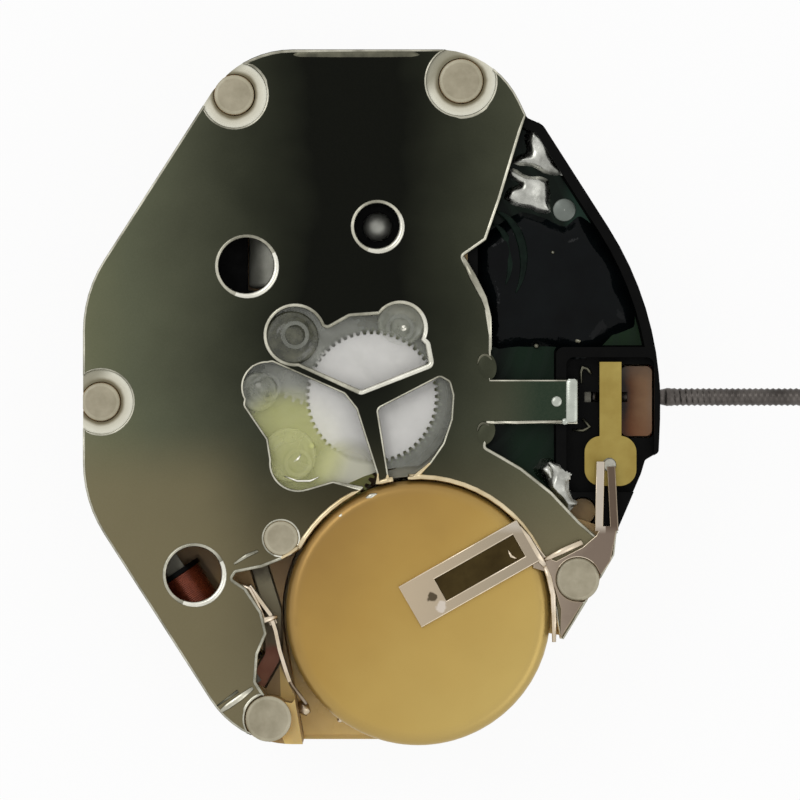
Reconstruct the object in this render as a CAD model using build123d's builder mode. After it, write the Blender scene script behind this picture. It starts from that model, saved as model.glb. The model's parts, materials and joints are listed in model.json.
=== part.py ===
from build123d import *
import math
import os

# A small quartz watch movement, in millimetres.
# The origin is on the hands axis in the dial seat, +Z points to the battery side, +X along the stem.

# Outline of the movement
half_width = 7.4
half_length = 8.9
corner_radius = 2.5

# Heights that stack up from the dial seat to the strap
cover_thickness = 0.15
recess_depth = 0.75
pocket_floor = 0.3
insulator_thickness = 0.04
contact_thickness = 0.04
film_gap = 0.02
battery_height = 2.6
battery_rise = 0.05
plate_thickness = 0.2
bridge_thickness = 0.15
wheel_thickness = 0.15
level_gap = 0.17
shake = 0.05
board_thickness = 0.15
board_drop = 0.55
strap_thickness = 0.12
strap_lift = 0.08

# Battery, and the way that it slides out
battery_radius = 3.4
battery_edge = 0.3
can_wall = 0.2
gasket_width = 0.25
gasket_rise = 0.1
gasket_height = 0.8
cap_rise = 0.15
battery_clearance = 0.1
slide_angle = -80.0
slide_room = 9.0

# Gear train
seconds_teeth = 60
seconds_pinion_teeth = 8
fifth_teeth = 40
fifth_pinion_teeth = 10
rotor_pinion_teeth = 8
third_teeth = 60
third_pinion_teeth = 8
centre_teeth = 64
cannon_teeth = 12
minute_teeth = 36
minute_pinion_teeth = 10
hour_teeth = 40
setting_teeth = 18
seconds_module = 0.0557
rotor_module = 0.0691
third_module = 0.0586
minute_module = 0.075
fifth_angle = 141.6
rotor_angle = 212.9
third_angle = 218.9
minute_angle = -20.1
setting_angle = 16.1
arbor_radius = 0.07
pivot_clearance = 0.02
pivot_depth = 0.3
pinion_overhang = 0.03
press_gap = 0.01
hub_radius = 0.18
gear_clearance = 0.12
tip_share = 0.8
root_share = 1.1
tooth_root_share = 0.3
tooth_tip_share = 0.13
side_share = 0.99

# Hand posts, from the inside out
seconds_post_radius = 0.1
seconds_post_drop = 1.9
minute_seat_radius = 0.4
cannon_waist_radius = 0.24
cannon_neck_radius = 0.35
cannon_drop = 1.45
guide_drop = 0.4
hour_pipe_radius = 0.6
hour_pipe_drop = 0.95
hand_room = 0.6
seconds_seat_step = 0.01
post_clearance = 0.03
wheel_post_radius = 0.12
setting_height = 0.6

# Rotor, stator and coil
rotor_radius = 0.6
rotor_height = 0.32
rotor_gap = 0.1
stator_thickness = 0.26
stator_ring = 0.26
leg_width = 0.4
leg_bend = 0.45
leg_clearance = 0.06
coil_radius = 0.6
flange_radius = 0.65
flange_thickness = 0.12
coil_length = 3.0
coil_angle = -56.0
core_width = 0.5
core_thickness = 0.2
core_foot = 0.55
coil_clearance = 0.06

# Crystal
crystal_radius = 0.75
crystal_length = 4.6
crystal_clearance = 0.05
crystal_edge = 0.12
lead_radius = 0.08
lead_spacing = 0.44
lead_bend = 0.12
lead_stub = 0.24
lead_step = 0.26
lead_run = 0.42
joint_radius = 0.14

# Stem and keyless works; offsets along X are from the lever's post
works_back = 1.31
stem_rise = 0.21
stem_radius = 0.235
bearing_part_radius = 0.4
stem_end_offset = 11.31
stem_shoulder_offset = -0.44
stem_square = 0.27
square_start_offset = -1.79
pilot_radius = 0.1
pilot_start_offset = -2.69
pilot_room = 0.2
stem_clearance = 0.025
groove_radius = 0.28
groove_width = 0.3
groove_offset = -0.16
neck_radius = 0.19
neck_length = 0.16
rim_neck_offset = 1.33
clutch_radius = 0.5
clutch_start_offset = -1.34
clutch_length = 0.8
clutch_bore = 0.3
clutch_groove_start_offset = -1.03
clutch_groove_width = 0.16
clutch_groove_radius = 0.3
clutch_tooth = 0.08
clutch_teeth = 8
clutch_clearance = 0.12
clutch_travel = 0.25
yoke_thickness = 0.09
yoke_gap = 0.03
yoke_width = 0.62
yoke_reach = 1.15
lever_thickness = 0.2
lever_bar_width = 0.56
lever_bar_reach = 0.9
lever_bar_offset = 0.03
lever_paddle_width = 1.33
lever_paddle_length = 1.28
lever_paddle_y = -1.64
lever_paddle_radius = 0.42
lever_drop = 0.2
lever_post_y = -1.74
lever_post_radius = 0.15
lever_shoulder_radius = 0.3
peg_radius = 0.08
peg_bite = 0.065
bearing_start_offset = 0.31
bearing_end_offset = 1.1
bearing_low = -1.0
bearing_high = 0.79
bearing_radius = 0.16
peg_room = 0.16
peg_slot_width = 0.26
window_start_offset = -1.11
window_end_offset = 1.14
window_low = -2.44
window_high = 1.02
window_radius = 0.2

# Circuit side
block_radius = 0.15
rim_wall = 0.26
board_clearance = 0.05
chip_size = 2.5
chip_height = 0.3
chip_radius = 0.35
solder_height = 0.12
dot_radius = 0.28

# Back plate details
window_size = 2.56
window_corner = 0.12
large_hole = 0.77
stud_hole = 0.64
stud_radius = 0.38
stud_head = 0.35
stud_shank_radius = 0.2
stud_depth = 0.65
stud_shank = 0.7
pin_clearance = 0.03
pin_recess = 0.33
recess_depth_share = 0.45
tongue_low = -0.69
tongue_high = 0.44
tab_drop = 0.25
tab_thickness = 0.2
crescent_corner = 0.05
window_edge_corner = 0.06
plate_edge_gap = 0.06
boss_radius = 0.36
boss_wall = 0.1

# Strap
strap_width = 1.15
strap_slot_width = 0.69
strap_slot_length = 2.34
strap_angle = 29.5
strap_length = 3.45
strap_slot_end = 0.24
strap_slot_depth = 0.07
prong_width = 0.17

# Side contact, and small hardware
blade_thickness = 0.09
blade_height = 0.9
blade_bend = 0.2
lug_width = 0.2
contact_radius = 2.0
contact_width = 1.2
contact_angle = 60.0
film_margin = 0.12
dome_share = 0.9
foot_hole_radius = 0.4
foot_hole_depth = 1.0
screw_head_radius = 0.3
screw_head_height = 0.1
screw_radius = 0.15
screw_length = 0.85
screw_slot = 0.09
screw_slot_share_of_head = 0.5
screw_clearance = 0.03
cover_margin = 0.6
cover_gap = 0.04
overrun = 1.0

# Outlines as corners: shares of the half width and half length, and of the corner radius
outline_shares = [
    (-0.46, -1.0, 1.0),
    (0.44, -1.0, 1.0),
    (0.782, -0.535, 0.12),
    (0.838, -0.455, 0.08),
    (0.846, -0.391, 0.2),
    (0.934, -0.221, 0.1),
    (0.948, -0.182, 0.04),
    (0.993, -0.16, 0.05),
    (1.0135, 0.236, 3.4),
    (0.592, 0.784, 0.12),
    (0.5365, 0.8045, 0.08),
    (0.4255, 1.0, 0.92),
    (-0.46, 1.0, 1.0),
    (-1.0, 0.3, 1.36),
    (-1.0, -0.3, 1.36),
]
block_shares = [
    (0.412, 1.1),
    (0.412, 0.83),
    (0.331, 0.775),
    (0.331, -0.146),
    (0.486, -0.275),
    (0.662, -0.337),
    (0.79, -0.371),
    (0.8, -0.47),
    (1.2, -0.47),
    (1.2, 1.1),
]
circuit_window_shares = [
    (0.556, 0.87),
    (0.516, 0.767),
    (0.443, 0.566),
    (0.395, 0.451),
    (0.315, 0.405),
    (0.356, 0.336),
    (0.398, 0.27),
    (0.415, 0.178),
    (0.408, 0.06),
    (0.394, -0.144),
    (0.45, -0.17),
    (0.519, -0.204),
    (0.623, -0.273),
    (0.72, -0.359),
    (0.78, -0.402),
    (1.2, -0.3),
    (1.2, 0.87),
]
crescent_shares = [
    (-0.249, -0.434),
    (-0.311, -0.468),
    (-0.381, -0.491),
    (-0.471, -0.506),
    (-0.484, -0.523),
    (-0.436, -0.549),
    (-0.381, -0.618),
    (-0.363, -0.681),
    (-0.394, -0.741),
    (-0.401, -0.819),
    (-0.36, -0.871),
    (-0.277, -0.882),
    (-0.2, -0.78),
    (-0.2, -0.5),
]
board_arm_shares = [
    (-0.19, 0.573),
    (-0.19, 0.91),
    (0.17, 0.91),
    (0.225, 0.83),
    (0.42, 0.83),
    (0.42, 0.573),
]
strap_root_shares = [
    (0.56, -0.42),
    (0.6, -0.462),
    (0.637, -0.474),
    (0.729, -0.434),
    (0.777, -0.4),
    (0.795, -0.372),
    (0.845, -0.372),
    (0.822, -0.47),
    (0.767, -0.536),
    (0.652, -0.69),
    (0.655, -0.61),
    (0.635, -0.55),
    (0.6, -0.5),
    (0.56, -0.49),
]
prong_shares = [[(0.785, -0.385), (0.79, -0.186)], [(0.838, -0.385), (0.827, -0.2)]]
open_corner_share = (0.665, -0.697)
battery_shares = (0.15946, -0.62135)
coil_shares = (-0.68243, -0.50562)
crystal_top_shares = (-0.32703, 0.83146)
lead_end_share = -0.12162
chip_shares = (0.60135, 0.30899)
dot_shares = (0.66757, 0.54045)
stud_shares = (0.01838, 0.49101)
tongue_shares = (0.2973, 0.71081)
strap_foot_shares = (0.53821, -0.41249)
top_window_shares = [
    (-1.02, 0.45),
    (-0.11, 0.04),
    (0.6, 0.32),
    (0.56, 0.54),
    (0.2, 0.85),
    (-0.23, 0.82),
    (-0.44, 0.7),
    (-0.62, 0.76),
    (-1.02, 0.62),
]
right_window_shares = [
    (0.06, -0.12),
    (0.17, -0.8),
    (0.27, -0.85),
    (0.42, -0.78),
    (0.58, -0.65),
    (0.71, -0.46),
    (0.79, -0.22),
    (0.805, 0.02),
    (0.77, 0.15),
    (0.68, 0.2),
]
left_window_shares = [
    (-1.2, 0.3),
    (-1.27, -0.08),
    (-1.04, -0.42),
    (-1.0, -0.68),
    (-0.66, -0.92),
    (-0.39, -0.84),
    (0.02, -0.94),
    (0.05, -0.78),
    (-0.16, -0.12),
    (-0.28, 0.03),
    (-1.0, 0.35),
]
lobe_shares = {
    "top": [(-0.77, 0.62, 0.3), (0.28, 0.69, 0.26)],
    "right": [],
    "left": [(-1.05, 0.1, 0.24), (-0.74, -0.66, 0.27)],
}
boss_shares = [(-0.77, 0.62), (0.28, 0.69), (-1.05, 0.1), (-0.74, -0.66)]

# Moulded pins that the back plate is staked to: x and y shares, and each radius
pin_radii = (0.51, 0.56, 0.49, 0.59, 0.56, 0.44)
pin_shares = (
    (-0.477, 0.869),
    (0.308, 0.909),
    (-0.938, -0.014),
    (-0.358, -0.926),
    (0.712, -0.524),
    (-0.315, -0.406),
)
recessed_pins = 3
strap_pin = 4
block_post_radius = 0.33
block_post_shares = (0.73, -0.33)
large_hole_shares = [(-0.434, 0.377), (-0.615, -0.511)]
pad_shares = [
    [(0.555, 0.79), (0.594, 0.745), (0.665, 0.65), (0.61, 0.65), (0.53, 0.683)],
    [(0.49, 0.645), (0.545, 0.63), (0.605, 0.63), (0.595, 0.54), (0.47, 0.57), (0.525, 0.605)],
    [(0.56, -0.2), (0.6, -0.185), (0.655, -0.25), (0.69, -0.31), (0.665, -0.318), (0.61, -0.26)],
]
foot_hole_shares = [(-0.757, 0.36), (0.662, -0.326)]
screw_shares = [(-0.196, 0.163), (-0.196, -0.163), (0.5, 0.155), (0.46, -0.197)]
blade_shares = [
    (-0.425, -0.545),
    (-0.352, -0.627),
    (-0.334, -0.674),
    (-0.32, -0.73),
    (-0.297, -0.792),
    (-0.285, -0.82),
]
lug_shares = [(-0.36, -0.651), (-0.335, -0.644)]
plate_end_shares = [(-0.4, -0.95), (-0.4, -1.1), (-0.1, -1.1), (-0.1, -0.8), (-0.358, -0.87)]
leg_left_shares = [(-0.5, 0.02), (-0.7, -0.1), (-0.735, -0.35), (-0.73, -0.438)]
leg_right_shares = [
    (-0.385, -0.06),
    (-0.43, -0.2),
    (-0.42, -0.42),
    (-0.345, -0.62),
    (-0.345, -0.75),
    (-0.4, -0.83),
]


# Heights worked out from the stack
battery_low = pocket_floor + insulator_thickness + contact_thickness + film_gap
battery_top = battery_low + battery_height
back_height = battery_top - battery_rise
plate_low = back_height - plate_thickness
bridge_low = plate_low - bridge_thickness
seconds_low = bridge_low - shake - wheel_thickness
fifth_low = seconds_low - level_gap - wheel_thickness
third_low = fifth_low - level_gap - wheel_thickness
centre_low = third_low - level_gap - wheel_thickness
web_top = centre_low - 2 * shake
board_low = plate_low - board_drop
board_top = board_low + board_thickness
hour_low = cover_thickness + shake
minute_low = hour_low + wheel_thickness + 2 * shake
setting_top = minute_low + setting_height
stator_low = web_top + shake
magnet_low = stator_low - pinion_overhang
magnet_top = magnet_low + rotor_height
coil_height = stator_low + stator_thickness + core_thickness / 2
stem_height = web_top + stem_rise
clutch_floor = stem_height - clutch_radius - shake
lever_low = plate_low - lever_drop - lever_thickness
strap_top = back_height + strap_lift + strap_thickness

# Places worked out from the outline
battery_x, battery_y = (battery_shares[0] * half_width, battery_shares[1] * half_length)
coil_x, coil_y = (coil_shares[0] * half_width, coil_shares[1] * half_length)
crystal_x, crystal_top = (crystal_top_shares[0] * half_width, crystal_top_shares[1] * half_length)
crystal_y = crystal_top - crystal_length
lead_end = lead_end_share * half_width
chip_x, chip_y = (chip_shares[0] * half_width, chip_shares[1] * half_length)
dot_x, dot_y = (dot_shares[0] * half_width, dot_shares[1] * half_length)
stud_x, stud_y = (stud_shares[0] * half_width, stud_shares[1] * half_length)
tongue_start, tongue_end = (tongue_shares[0] * half_width, tongue_shares[1] * half_width)
strap_foot = (strap_foot_shares[0] * half_width, strap_foot_shares[1] * half_length)
works_x = half_width - works_back
stem_shoulder = works_x + stem_shoulder_offset
square_start = works_x + square_start_offset
pilot_start = works_x + pilot_start_offset
groove_x = works_x + groove_offset
rim_neck_x = works_x + rim_neck_offset
clutch_start = works_x + clutch_start_offset
clutch_groove_start = works_x + clutch_groove_start_offset
lever_bar_x = works_x + lever_bar_offset
bearing_start = works_x + bearing_start_offset
bearing_end = works_x + bearing_end_offset
window_start = works_x + window_start_offset
window_end = works_x + window_end_offset
stem_end = works_x + stem_end_offset
lever_post_x = works_x

base = (Align.CENTER, Align.CENTER, Align.MIN)
forward = (Align.MIN, Align.CENTER)
backward = (Align.MAX, Align.CENTER)


def polar(centre, distance, angle):
    """Point at a distance and an angle, in degrees, from a centre."""
    turn = math.radians(angle)
    return (centre[0] + distance * math.cos(turn), centre[1] + distance * math.sin(turn))


def heading(start, end):
    """Angle in degrees of the way from one point to another."""
    return math.degrees(math.atan2(end[1] - start[1], end[0] - start[0]))


# Centres of the train, each a mesh distance from the one before
hands = (0, 0)
fifth_centre = polar(hands, seconds_module * (seconds_teeth + fifth_pinion_teeth) / 2, fifth_angle)
rotor_centre = polar(fifth_centre, rotor_module * (fifth_teeth + rotor_pinion_teeth) / 2, rotor_angle)
third_distance = third_module * (third_teeth + seconds_pinion_teeth) / 2
third_centre = polar(hands, third_distance, third_angle)
centre_module = 2 * third_distance / (centre_teeth + third_pinion_teeth)
minute_distance = minute_module * (cannon_teeth + minute_teeth) / 2
minute_centre = polar(hands, minute_distance, minute_angle)
hour_module = 2 * minute_distance / (hour_teeth + minute_pinion_teeth)
setting_centre = polar(minute_centre, minute_module * (minute_teeth + setting_teeth) / 2, setting_angle)
seconds_reach = seconds_module * (seconds_teeth / 2 + tip_share)
fifth_reach = rotor_module * (fifth_teeth / 2 + tip_share)
third_reach = third_module * (third_teeth / 2 + tip_share)
centre_reach = centre_module * (centre_teeth / 2 + tip_share)
hour_reach = hour_module * (hour_teeth / 2 + tip_share)
minute_reach = minute_module * (minute_teeth / 2 + tip_share)
setting_reach = minute_module * (setting_teeth / 2 + tip_share)

battery_centre = (battery_x, battery_y)
pin_places = [(x * half_width, y * half_length) for x, y in pin_shares]
block_post = (block_post_shares[0] * half_width, block_post_shares[1] * half_length)
large_holes = [(x * half_width, y * half_length) for x, y in large_hole_shares]
foot_holes = [(x * half_width, y * half_length) for x, y in foot_hole_shares]
screw_places = [(x * half_width, y * half_length) for x, y in screw_shares]
lead_joints = [(lead_end - joint_radius / 2, crystal_top + lead_stub + row * lead_step) for row in range(2)]
boss_places = [(x * window_size, y * window_size) for x, y in boss_shares]
coil_middle = polar((coil_x, coil_y), coil_length / 2, coil_angle)


def corners(shares, wide=half_width, high=half_length):
    """Points from a table of shares."""
    return [(share[0] * wide, share[1] * high) for share in shares]


def fitted(points, radii):
    """Corner radii, each limited so that the roundings at both ends fit on a side."""
    count = len(points)
    reaches = []
    for item in range(count):
        before = heading(points[item], points[item - 1])
        after = heading(points[item], points[(item + 1) % count])
        reaches.append(abs(math.tan(math.radians(after - before) / 2)))
    fits = [1] * count
    for item in range(count):
        other = (item + 1) % count
        taken = radii[item] / reaches[item] + radii[other] / reaches[other]
        fit = math.dist(points[item], points[other]) / taken * side_share
        fits[item] = min(fits[item], fit)
        fits[other] = min(fits[other], fit)
    return [radius * fit for radius, fit in zip(radii, fits)]


def rounded_face(shares, radius, wide=half_width, high=half_length):
    """Face with the same radius at each corner."""
    points = corners(shares, wide, high)
    with BuildSketch() as face:
        with BuildLine():
            FilletPolyline(points, radius=fitted(points, [radius] * len(points)), close=True)
        make_face()
    return face.sketch


def sharp_face(shares):
    """Face with straight sides and sharp corners."""
    with BuildSketch() as face:
        with BuildLine():
            Polyline(corners(shares), close=True)
        make_face()
    return face.sketch


def full_outline():
    """The eight-sided outline, with the straighter rim on the stem side."""
    points = corners(outline_shares)
    radii = [share[2] * corner_radius for share in outline_shares]
    with BuildSketch() as face:
        with BuildLine():
            FilletPolyline(points, radius=fitted(points, radii), close=True)
        make_face()
    return face.sketch


def battery_slot(clearance):
    """The battery's circle and the strip that it sweeps on its way out."""
    with BuildSketch() as face:
        with Locations(battery_centre):
            Circle(battery_radius + clearance)
        with Locations(Location((battery_x, battery_y, 0), (0, 0, slide_angle))):
            Rectangle(slide_room, 2 * (battery_radius + clearance), align=forward)
    return face.sketch


def open_corner():
    """What the rim leaves out beyond the battery, so that the battery's edge is the outline there."""
    far = half_width + half_length
    corner_point = (open_corner_share[0] * half_width, open_corner_share[1] * half_length)
    with BuildSketch() as face:
        with BuildLine():
            Polyline(
                battery_centre,
                (battery_x, battery_y - far),
                (battery_x + far, battery_y - far),
                polar(battery_centre, far, heading(battery_centre, corner_point)),
                close=True,
            )
        make_face()
        with Locations(battery_centre):
            Circle(battery_radius, mode=Mode.SUBTRACT)
    return face.sketch


def gear_face(teeth, module, centre, start):
    """Straight-sided teeth; start is the angle of the middle of one tooth."""
    pitch = 360 / teeth
    tip = module * (teeth / 2 + tip_share)
    root = module * (teeth / 2 - root_share)
    flank = [
        (root, -tooth_root_share),
        (tip, -tooth_tip_share),
        (tip, tooth_tip_share),
        (root, tooth_root_share),
    ]
    points = []
    for tooth in range(teeth):
        for radius, share in flank:
            points.append(polar(centre, radius, start + (tooth + share) * pitch))
    with BuildSketch() as face:
        with BuildLine():
            Polyline(points, close=True)
        make_face()
    return face.sketch


def gap_start(teeth, centre, other):
    """Start angle that turns a gap towards the other gear of the pair."""
    return heading(centre, other) + 180 / teeth


def post(centre, radius, low, high, mode=Mode.ADD):
    """Round post along Z, added to the part that is being built."""
    with Locations((centre[0], centre[1], low)):
        Cylinder(radius, high - low, align=base, mode=mode)


def spool(x_low, x_high, radius, mode=Mode.ADD):
    """Round length along the stem axis, added to the part that is being built."""
    with Locations(Location((x_low, 0, stem_height), (0, 90, 0))):
        Cylinder(radius, x_high - x_low, align=base, mode=mode)


outline = full_outline()
corner_cut = open_corner()
block_region = rounded_face(block_shares, block_radius)


def rim_face(inset):
    """The outline drawn in by an inset, with the battery's corner left open."""
    with BuildSketch() as face:
        add(outline)
        if inset > 0:
            offset(amount=-inset, kind=Kind.INTERSECTION)
        add(corner_cut, mode=Mode.SUBTRACT)
    return face.sketch


def block_face(inset):
    """The stem side of the outline, drawn in by an inset on all sides."""
    with BuildSketch() as face:
        add(outline)
        add(block_region, mode=Mode.INTERSECT)
        if inset > 0:
            offset(amount=-inset, kind=Kind.INTERSECTION)
    return face.sketch


def keyless_window(clearance):
    """Opening over the setting lever and the stem bearing."""
    wide = window_end - window_start + 2 * clearance
    high = window_high - window_low + 2 * clearance
    with BuildSketch() as face:
        with Locations(((window_start + window_end) / 2, (window_low + window_high) / 2)):
            RectangleRounded(wide, high, window_radius)
    return face.sketch


def board_face(clearance):
    """The circuit board: the stem side inside the rim wall, and an arm along the top."""
    with BuildSketch() as face:
        add(block_face(rim_wall + clearance))
        with BuildSketch(mode=Mode.PRIVATE) as arm:
            add(sharp_face(board_arm_shares))
            if clearance > 0:
                offset(amount=-clearance, kind=Kind.INTERSECTION)
        add(arm.sketch)
        add(keyless_window(rim_wall + clearance), mode=Mode.SUBTRACT)
        with Locations((window_start - rim_wall - clearance, window_low)):
            Rectangle(half_width, half_length, align=(Align.MIN, Align.MAX), mode=Mode.SUBTRACT)
    return face.sketch


def train_room(margin):
    """Room for the wheels and the rotor, widened by a margin."""
    with BuildSketch() as face:
        Circle(max(seconds_reach, centre_reach) + margin)
        with Locations(third_centre):
            Circle(third_reach + margin)
        with Locations(fifth_centre):
            Circle(fifth_reach + margin)
        with Locations(rotor_centre):
            Circle(rotor_radius + rotor_gap + stator_ring + margin)
    return face.sketch


def motion_room(margin):
    """Room on the dial side for the motion works, widened by a margin."""
    with BuildSketch() as face:
        Circle(hour_reach + margin)
        with Locations(minute_centre):
            Circle(minute_reach + margin)
        with Locations(setting_centre):
            Circle(setting_reach + margin)
    return face.sketch


def cover_face(margin):
    """The dial cover: a hull round its screws and the setting wheel."""
    with BuildSketch() as face:
        with Locations(*screw_places):
            Circle(cover_margin + margin)
        with Locations(setting_centre):
            Circle(setting_reach + cover_margin / 2 + margin)
        make_hull()
    return face.sketch


def strip_face(shares, width, bend):
    """Flat strip of even width along a line of points, with round bends."""
    with BuildSketch() as face:
        with BuildLine():
            if len(shares) > 2:
                FilletPolyline(corners(shares), radius=bend)
            else:
                Line(*corners(shares))
        trace(line_width=width)
    return face.sketch


def stator_face(margin):
    """Stator ring and its two legs, widened by a margin."""
    with BuildSketch() as face:
        with Locations(rotor_centre):
            Circle(rotor_radius + rotor_gap + stator_ring + margin)
        add(strip_face(leg_left_shares, leg_width + 2 * margin, leg_bend))
        add(strip_face(leg_right_shares, leg_width + 2 * margin, leg_bend))
    return face.sketch


def coil_face(margin):
    """Plan of the coil with its flanges, widened by a margin."""
    with BuildSketch() as face:
        with Locations(Location((coil_middle[0], coil_middle[1], 0), (0, 0, coil_angle))):
            Rectangle(coil_length + 2 * margin, 2 * (flange_radius + margin))
    return face.sketch


def core_face(margin):
    """Plan of the coil's core bar with its feet, widened by a margin."""
    with BuildSketch() as face:
        with Locations(Location((coil_middle[0], coil_middle[1], 0), (0, 0, coil_angle))):
            Rectangle(coil_length + 2 * (core_foot + margin), core_width + 2 * margin)
    return face.sketch


def crystal_face(margin):
    """Plan of the crystal can with its leads' turn, widened by a margin."""
    length = crystal_length + lead_stub + lead_step + lead_radius + 2 * margin
    with BuildSketch() as face:
        with Locations((crystal_x, crystal_y - margin)):
            Rectangle(2 * (crystal_radius + margin), length, align=(Align.CENTER, Align.MIN))
    return face.sketch


def lead_notch():
    """Gap in the wall between the crystal and the board, for the leads."""
    with BuildSketch() as face:
        with Locations((crystal_x + crystal_radius, crystal_top + lead_stub + lead_step / 2)):
            Rectangle(lead_run, 2 * lead_step, align=(Align.CENTER, Align.CENTER))
    return face.sketch


def window_face(name, shares):
    """One clear window of the back plate, with round lobes at its bosses."""
    with BuildSketch() as face:
        add(rounded_face(shares, window_corner, window_size, window_size))
        for x, y, radius in lobe_shares[name]:
            with Locations((x * window_size, y * window_size)):
                Circle(radius * window_size)
    return face.sketch


board_outline = board_face(board_clearance)
board_room = board_face(0)
keyless = keyless_window(0)
crescent = rounded_face(crescent_shares, crescent_corner)
windows = [
    window_face("top", top_window_shares),
    window_face("right", right_window_shares),
    window_face("left", left_window_shares),
]

# Main plate: amber plastic moulding that carries everything
with BuildPart() as main_plate:
    with BuildSketch():
        add(rim_face(0))
    extrude(amount=plate_low)
    with BuildSketch(Plane.XY.offset(web_top)):
        add(block_region)
    extrude(amount=plate_low, mode=Mode.SUBTRACT)
    with BuildSketch(Plane.XY.offset(pocket_floor)):
        add(battery_slot(battery_clearance))
    extrude(amount=plate_low, mode=Mode.SUBTRACT)
    with BuildSketch(Plane.XY.offset(web_top)):
        add(train_room(gear_clearance))
        add(stator_face(leg_clearance))
    extrude(amount=plate_low, mode=Mode.SUBTRACT)
    with BuildSketch(Plane.XY.offset(bridge_low)):
        add(train_room(gear_clearance + rim_wall))
    extrude(amount=plate_low, mode=Mode.SUBTRACT)
    with BuildSketch(Plane.XY.offset(coil_height - flange_radius - coil_clearance)):
        add(coil_face(coil_clearance))
    extrude(amount=plate_low, mode=Mode.SUBTRACT)
    with BuildSketch(Plane.XY.offset(stator_low)):
        add(core_face(coil_clearance))
    extrude(amount=plate_low, mode=Mode.SUBTRACT)
    with BuildSketch(Plane.XY.offset(coil_height - crystal_radius - crystal_clearance)):
        add(crystal_face(crystal_clearance))
    extrude(amount=plate_low, mode=Mode.SUBTRACT)
    with BuildSketch(Plane.XY.offset(board_low)):
        add(board_room)
        add(lead_notch())
    extrude(amount=plate_low, mode=Mode.SUBTRACT)
    with BuildSketch(Plane.XY.offset(plate_low - blade_height)):
        add(crescent)
    extrude(amount=plate_low, mode=Mode.SUBTRACT)
    for place in large_holes:
        post(place, large_hole, web_top, plate_low, Mode.SUBTRACT)
    post((stud_x, stud_y), stud_hole, plate_low - stud_depth, plate_low, Mode.SUBTRACT)
    post((stud_x, stud_y), stud_shank_radius, plate_low - stud_depth - stud_shank, plate_low, Mode.SUBTRACT)
    with BuildSketch():
        add(motion_room(gear_clearance))
    extrude(amount=recess_depth, mode=Mode.SUBTRACT)
    post(setting_centre, setting_reach + gear_clearance, 0, setting_top + shake, Mode.SUBTRACT)
    with BuildSketch():
        add(cover_face(cover_gap))
    extrude(amount=cover_thickness, mode=Mode.SUBTRACT)
    for place in screw_places:
        post(place, screw_radius, 0, cover_thickness + screw_length, Mode.SUBTRACT)
    for place in foot_holes:
        post(place, foot_hole_radius, 0, foot_hole_depth, Mode.SUBTRACT)
    for place in (fifth_centre, rotor_centre, third_centre):
        post(place, arbor_radius + pivot_clearance, web_top - pivot_depth, web_top, Mode.SUBTRACT)
    post(hands, cannon_neck_radius + post_clearance, 0, web_top, Mode.SUBTRACT)
    post(minute_centre, wheel_post_radius, hour_low, recess_depth)
    post(setting_centre, wheel_post_radius, minute_low, web_top)
    with Locations((clutch_start - clutch_travel - shake, 0, clutch_floor)):
        Box(
            clutch_length + clutch_travel + 2 * shake,
            2 * (clutch_radius + clutch_clearance),
            web_top - clutch_floor,
            align=(Align.MIN, Align.CENTER, Align.MIN),
            mode=Mode.SUBTRACT,
        )
    with BuildSketch(Plane.XY.offset(web_top)):
        with Locations(((bearing_start + bearing_end) / 2, (bearing_low + bearing_high) / 2)):
            RectangleRounded(bearing_end - bearing_start, bearing_high - bearing_low, bearing_radius)
    extrude(amount=lever_low - shake - web_top)
    with Locations((bearing_start, 0, stem_height)):
        Box(2 * peg_room, peg_slot_width, lever_low, align=base, mode=Mode.SUBTRACT)
    spool(stem_shoulder, half_width + overrun, bearing_part_radius + stem_clearance, Mode.SUBTRACT)
    post(block_post, block_post_radius, web_top, board_top)
    post((lever_post_x, lever_post_y), lever_post_radius, recess_depth, web_top, Mode.SUBTRACT)
    with BuildSketch(Plane.XY.offset(web_top)):
        for place, radius in zip(pin_places, pin_radii):
            with Locations(place):
                Circle(radius)
        add(rim_face(0), mode=Mode.INTERSECT)
        add(battery_slot(battery_clearance), mode=Mode.SUBTRACT)
    extrude(amount=back_height - web_top)

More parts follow.
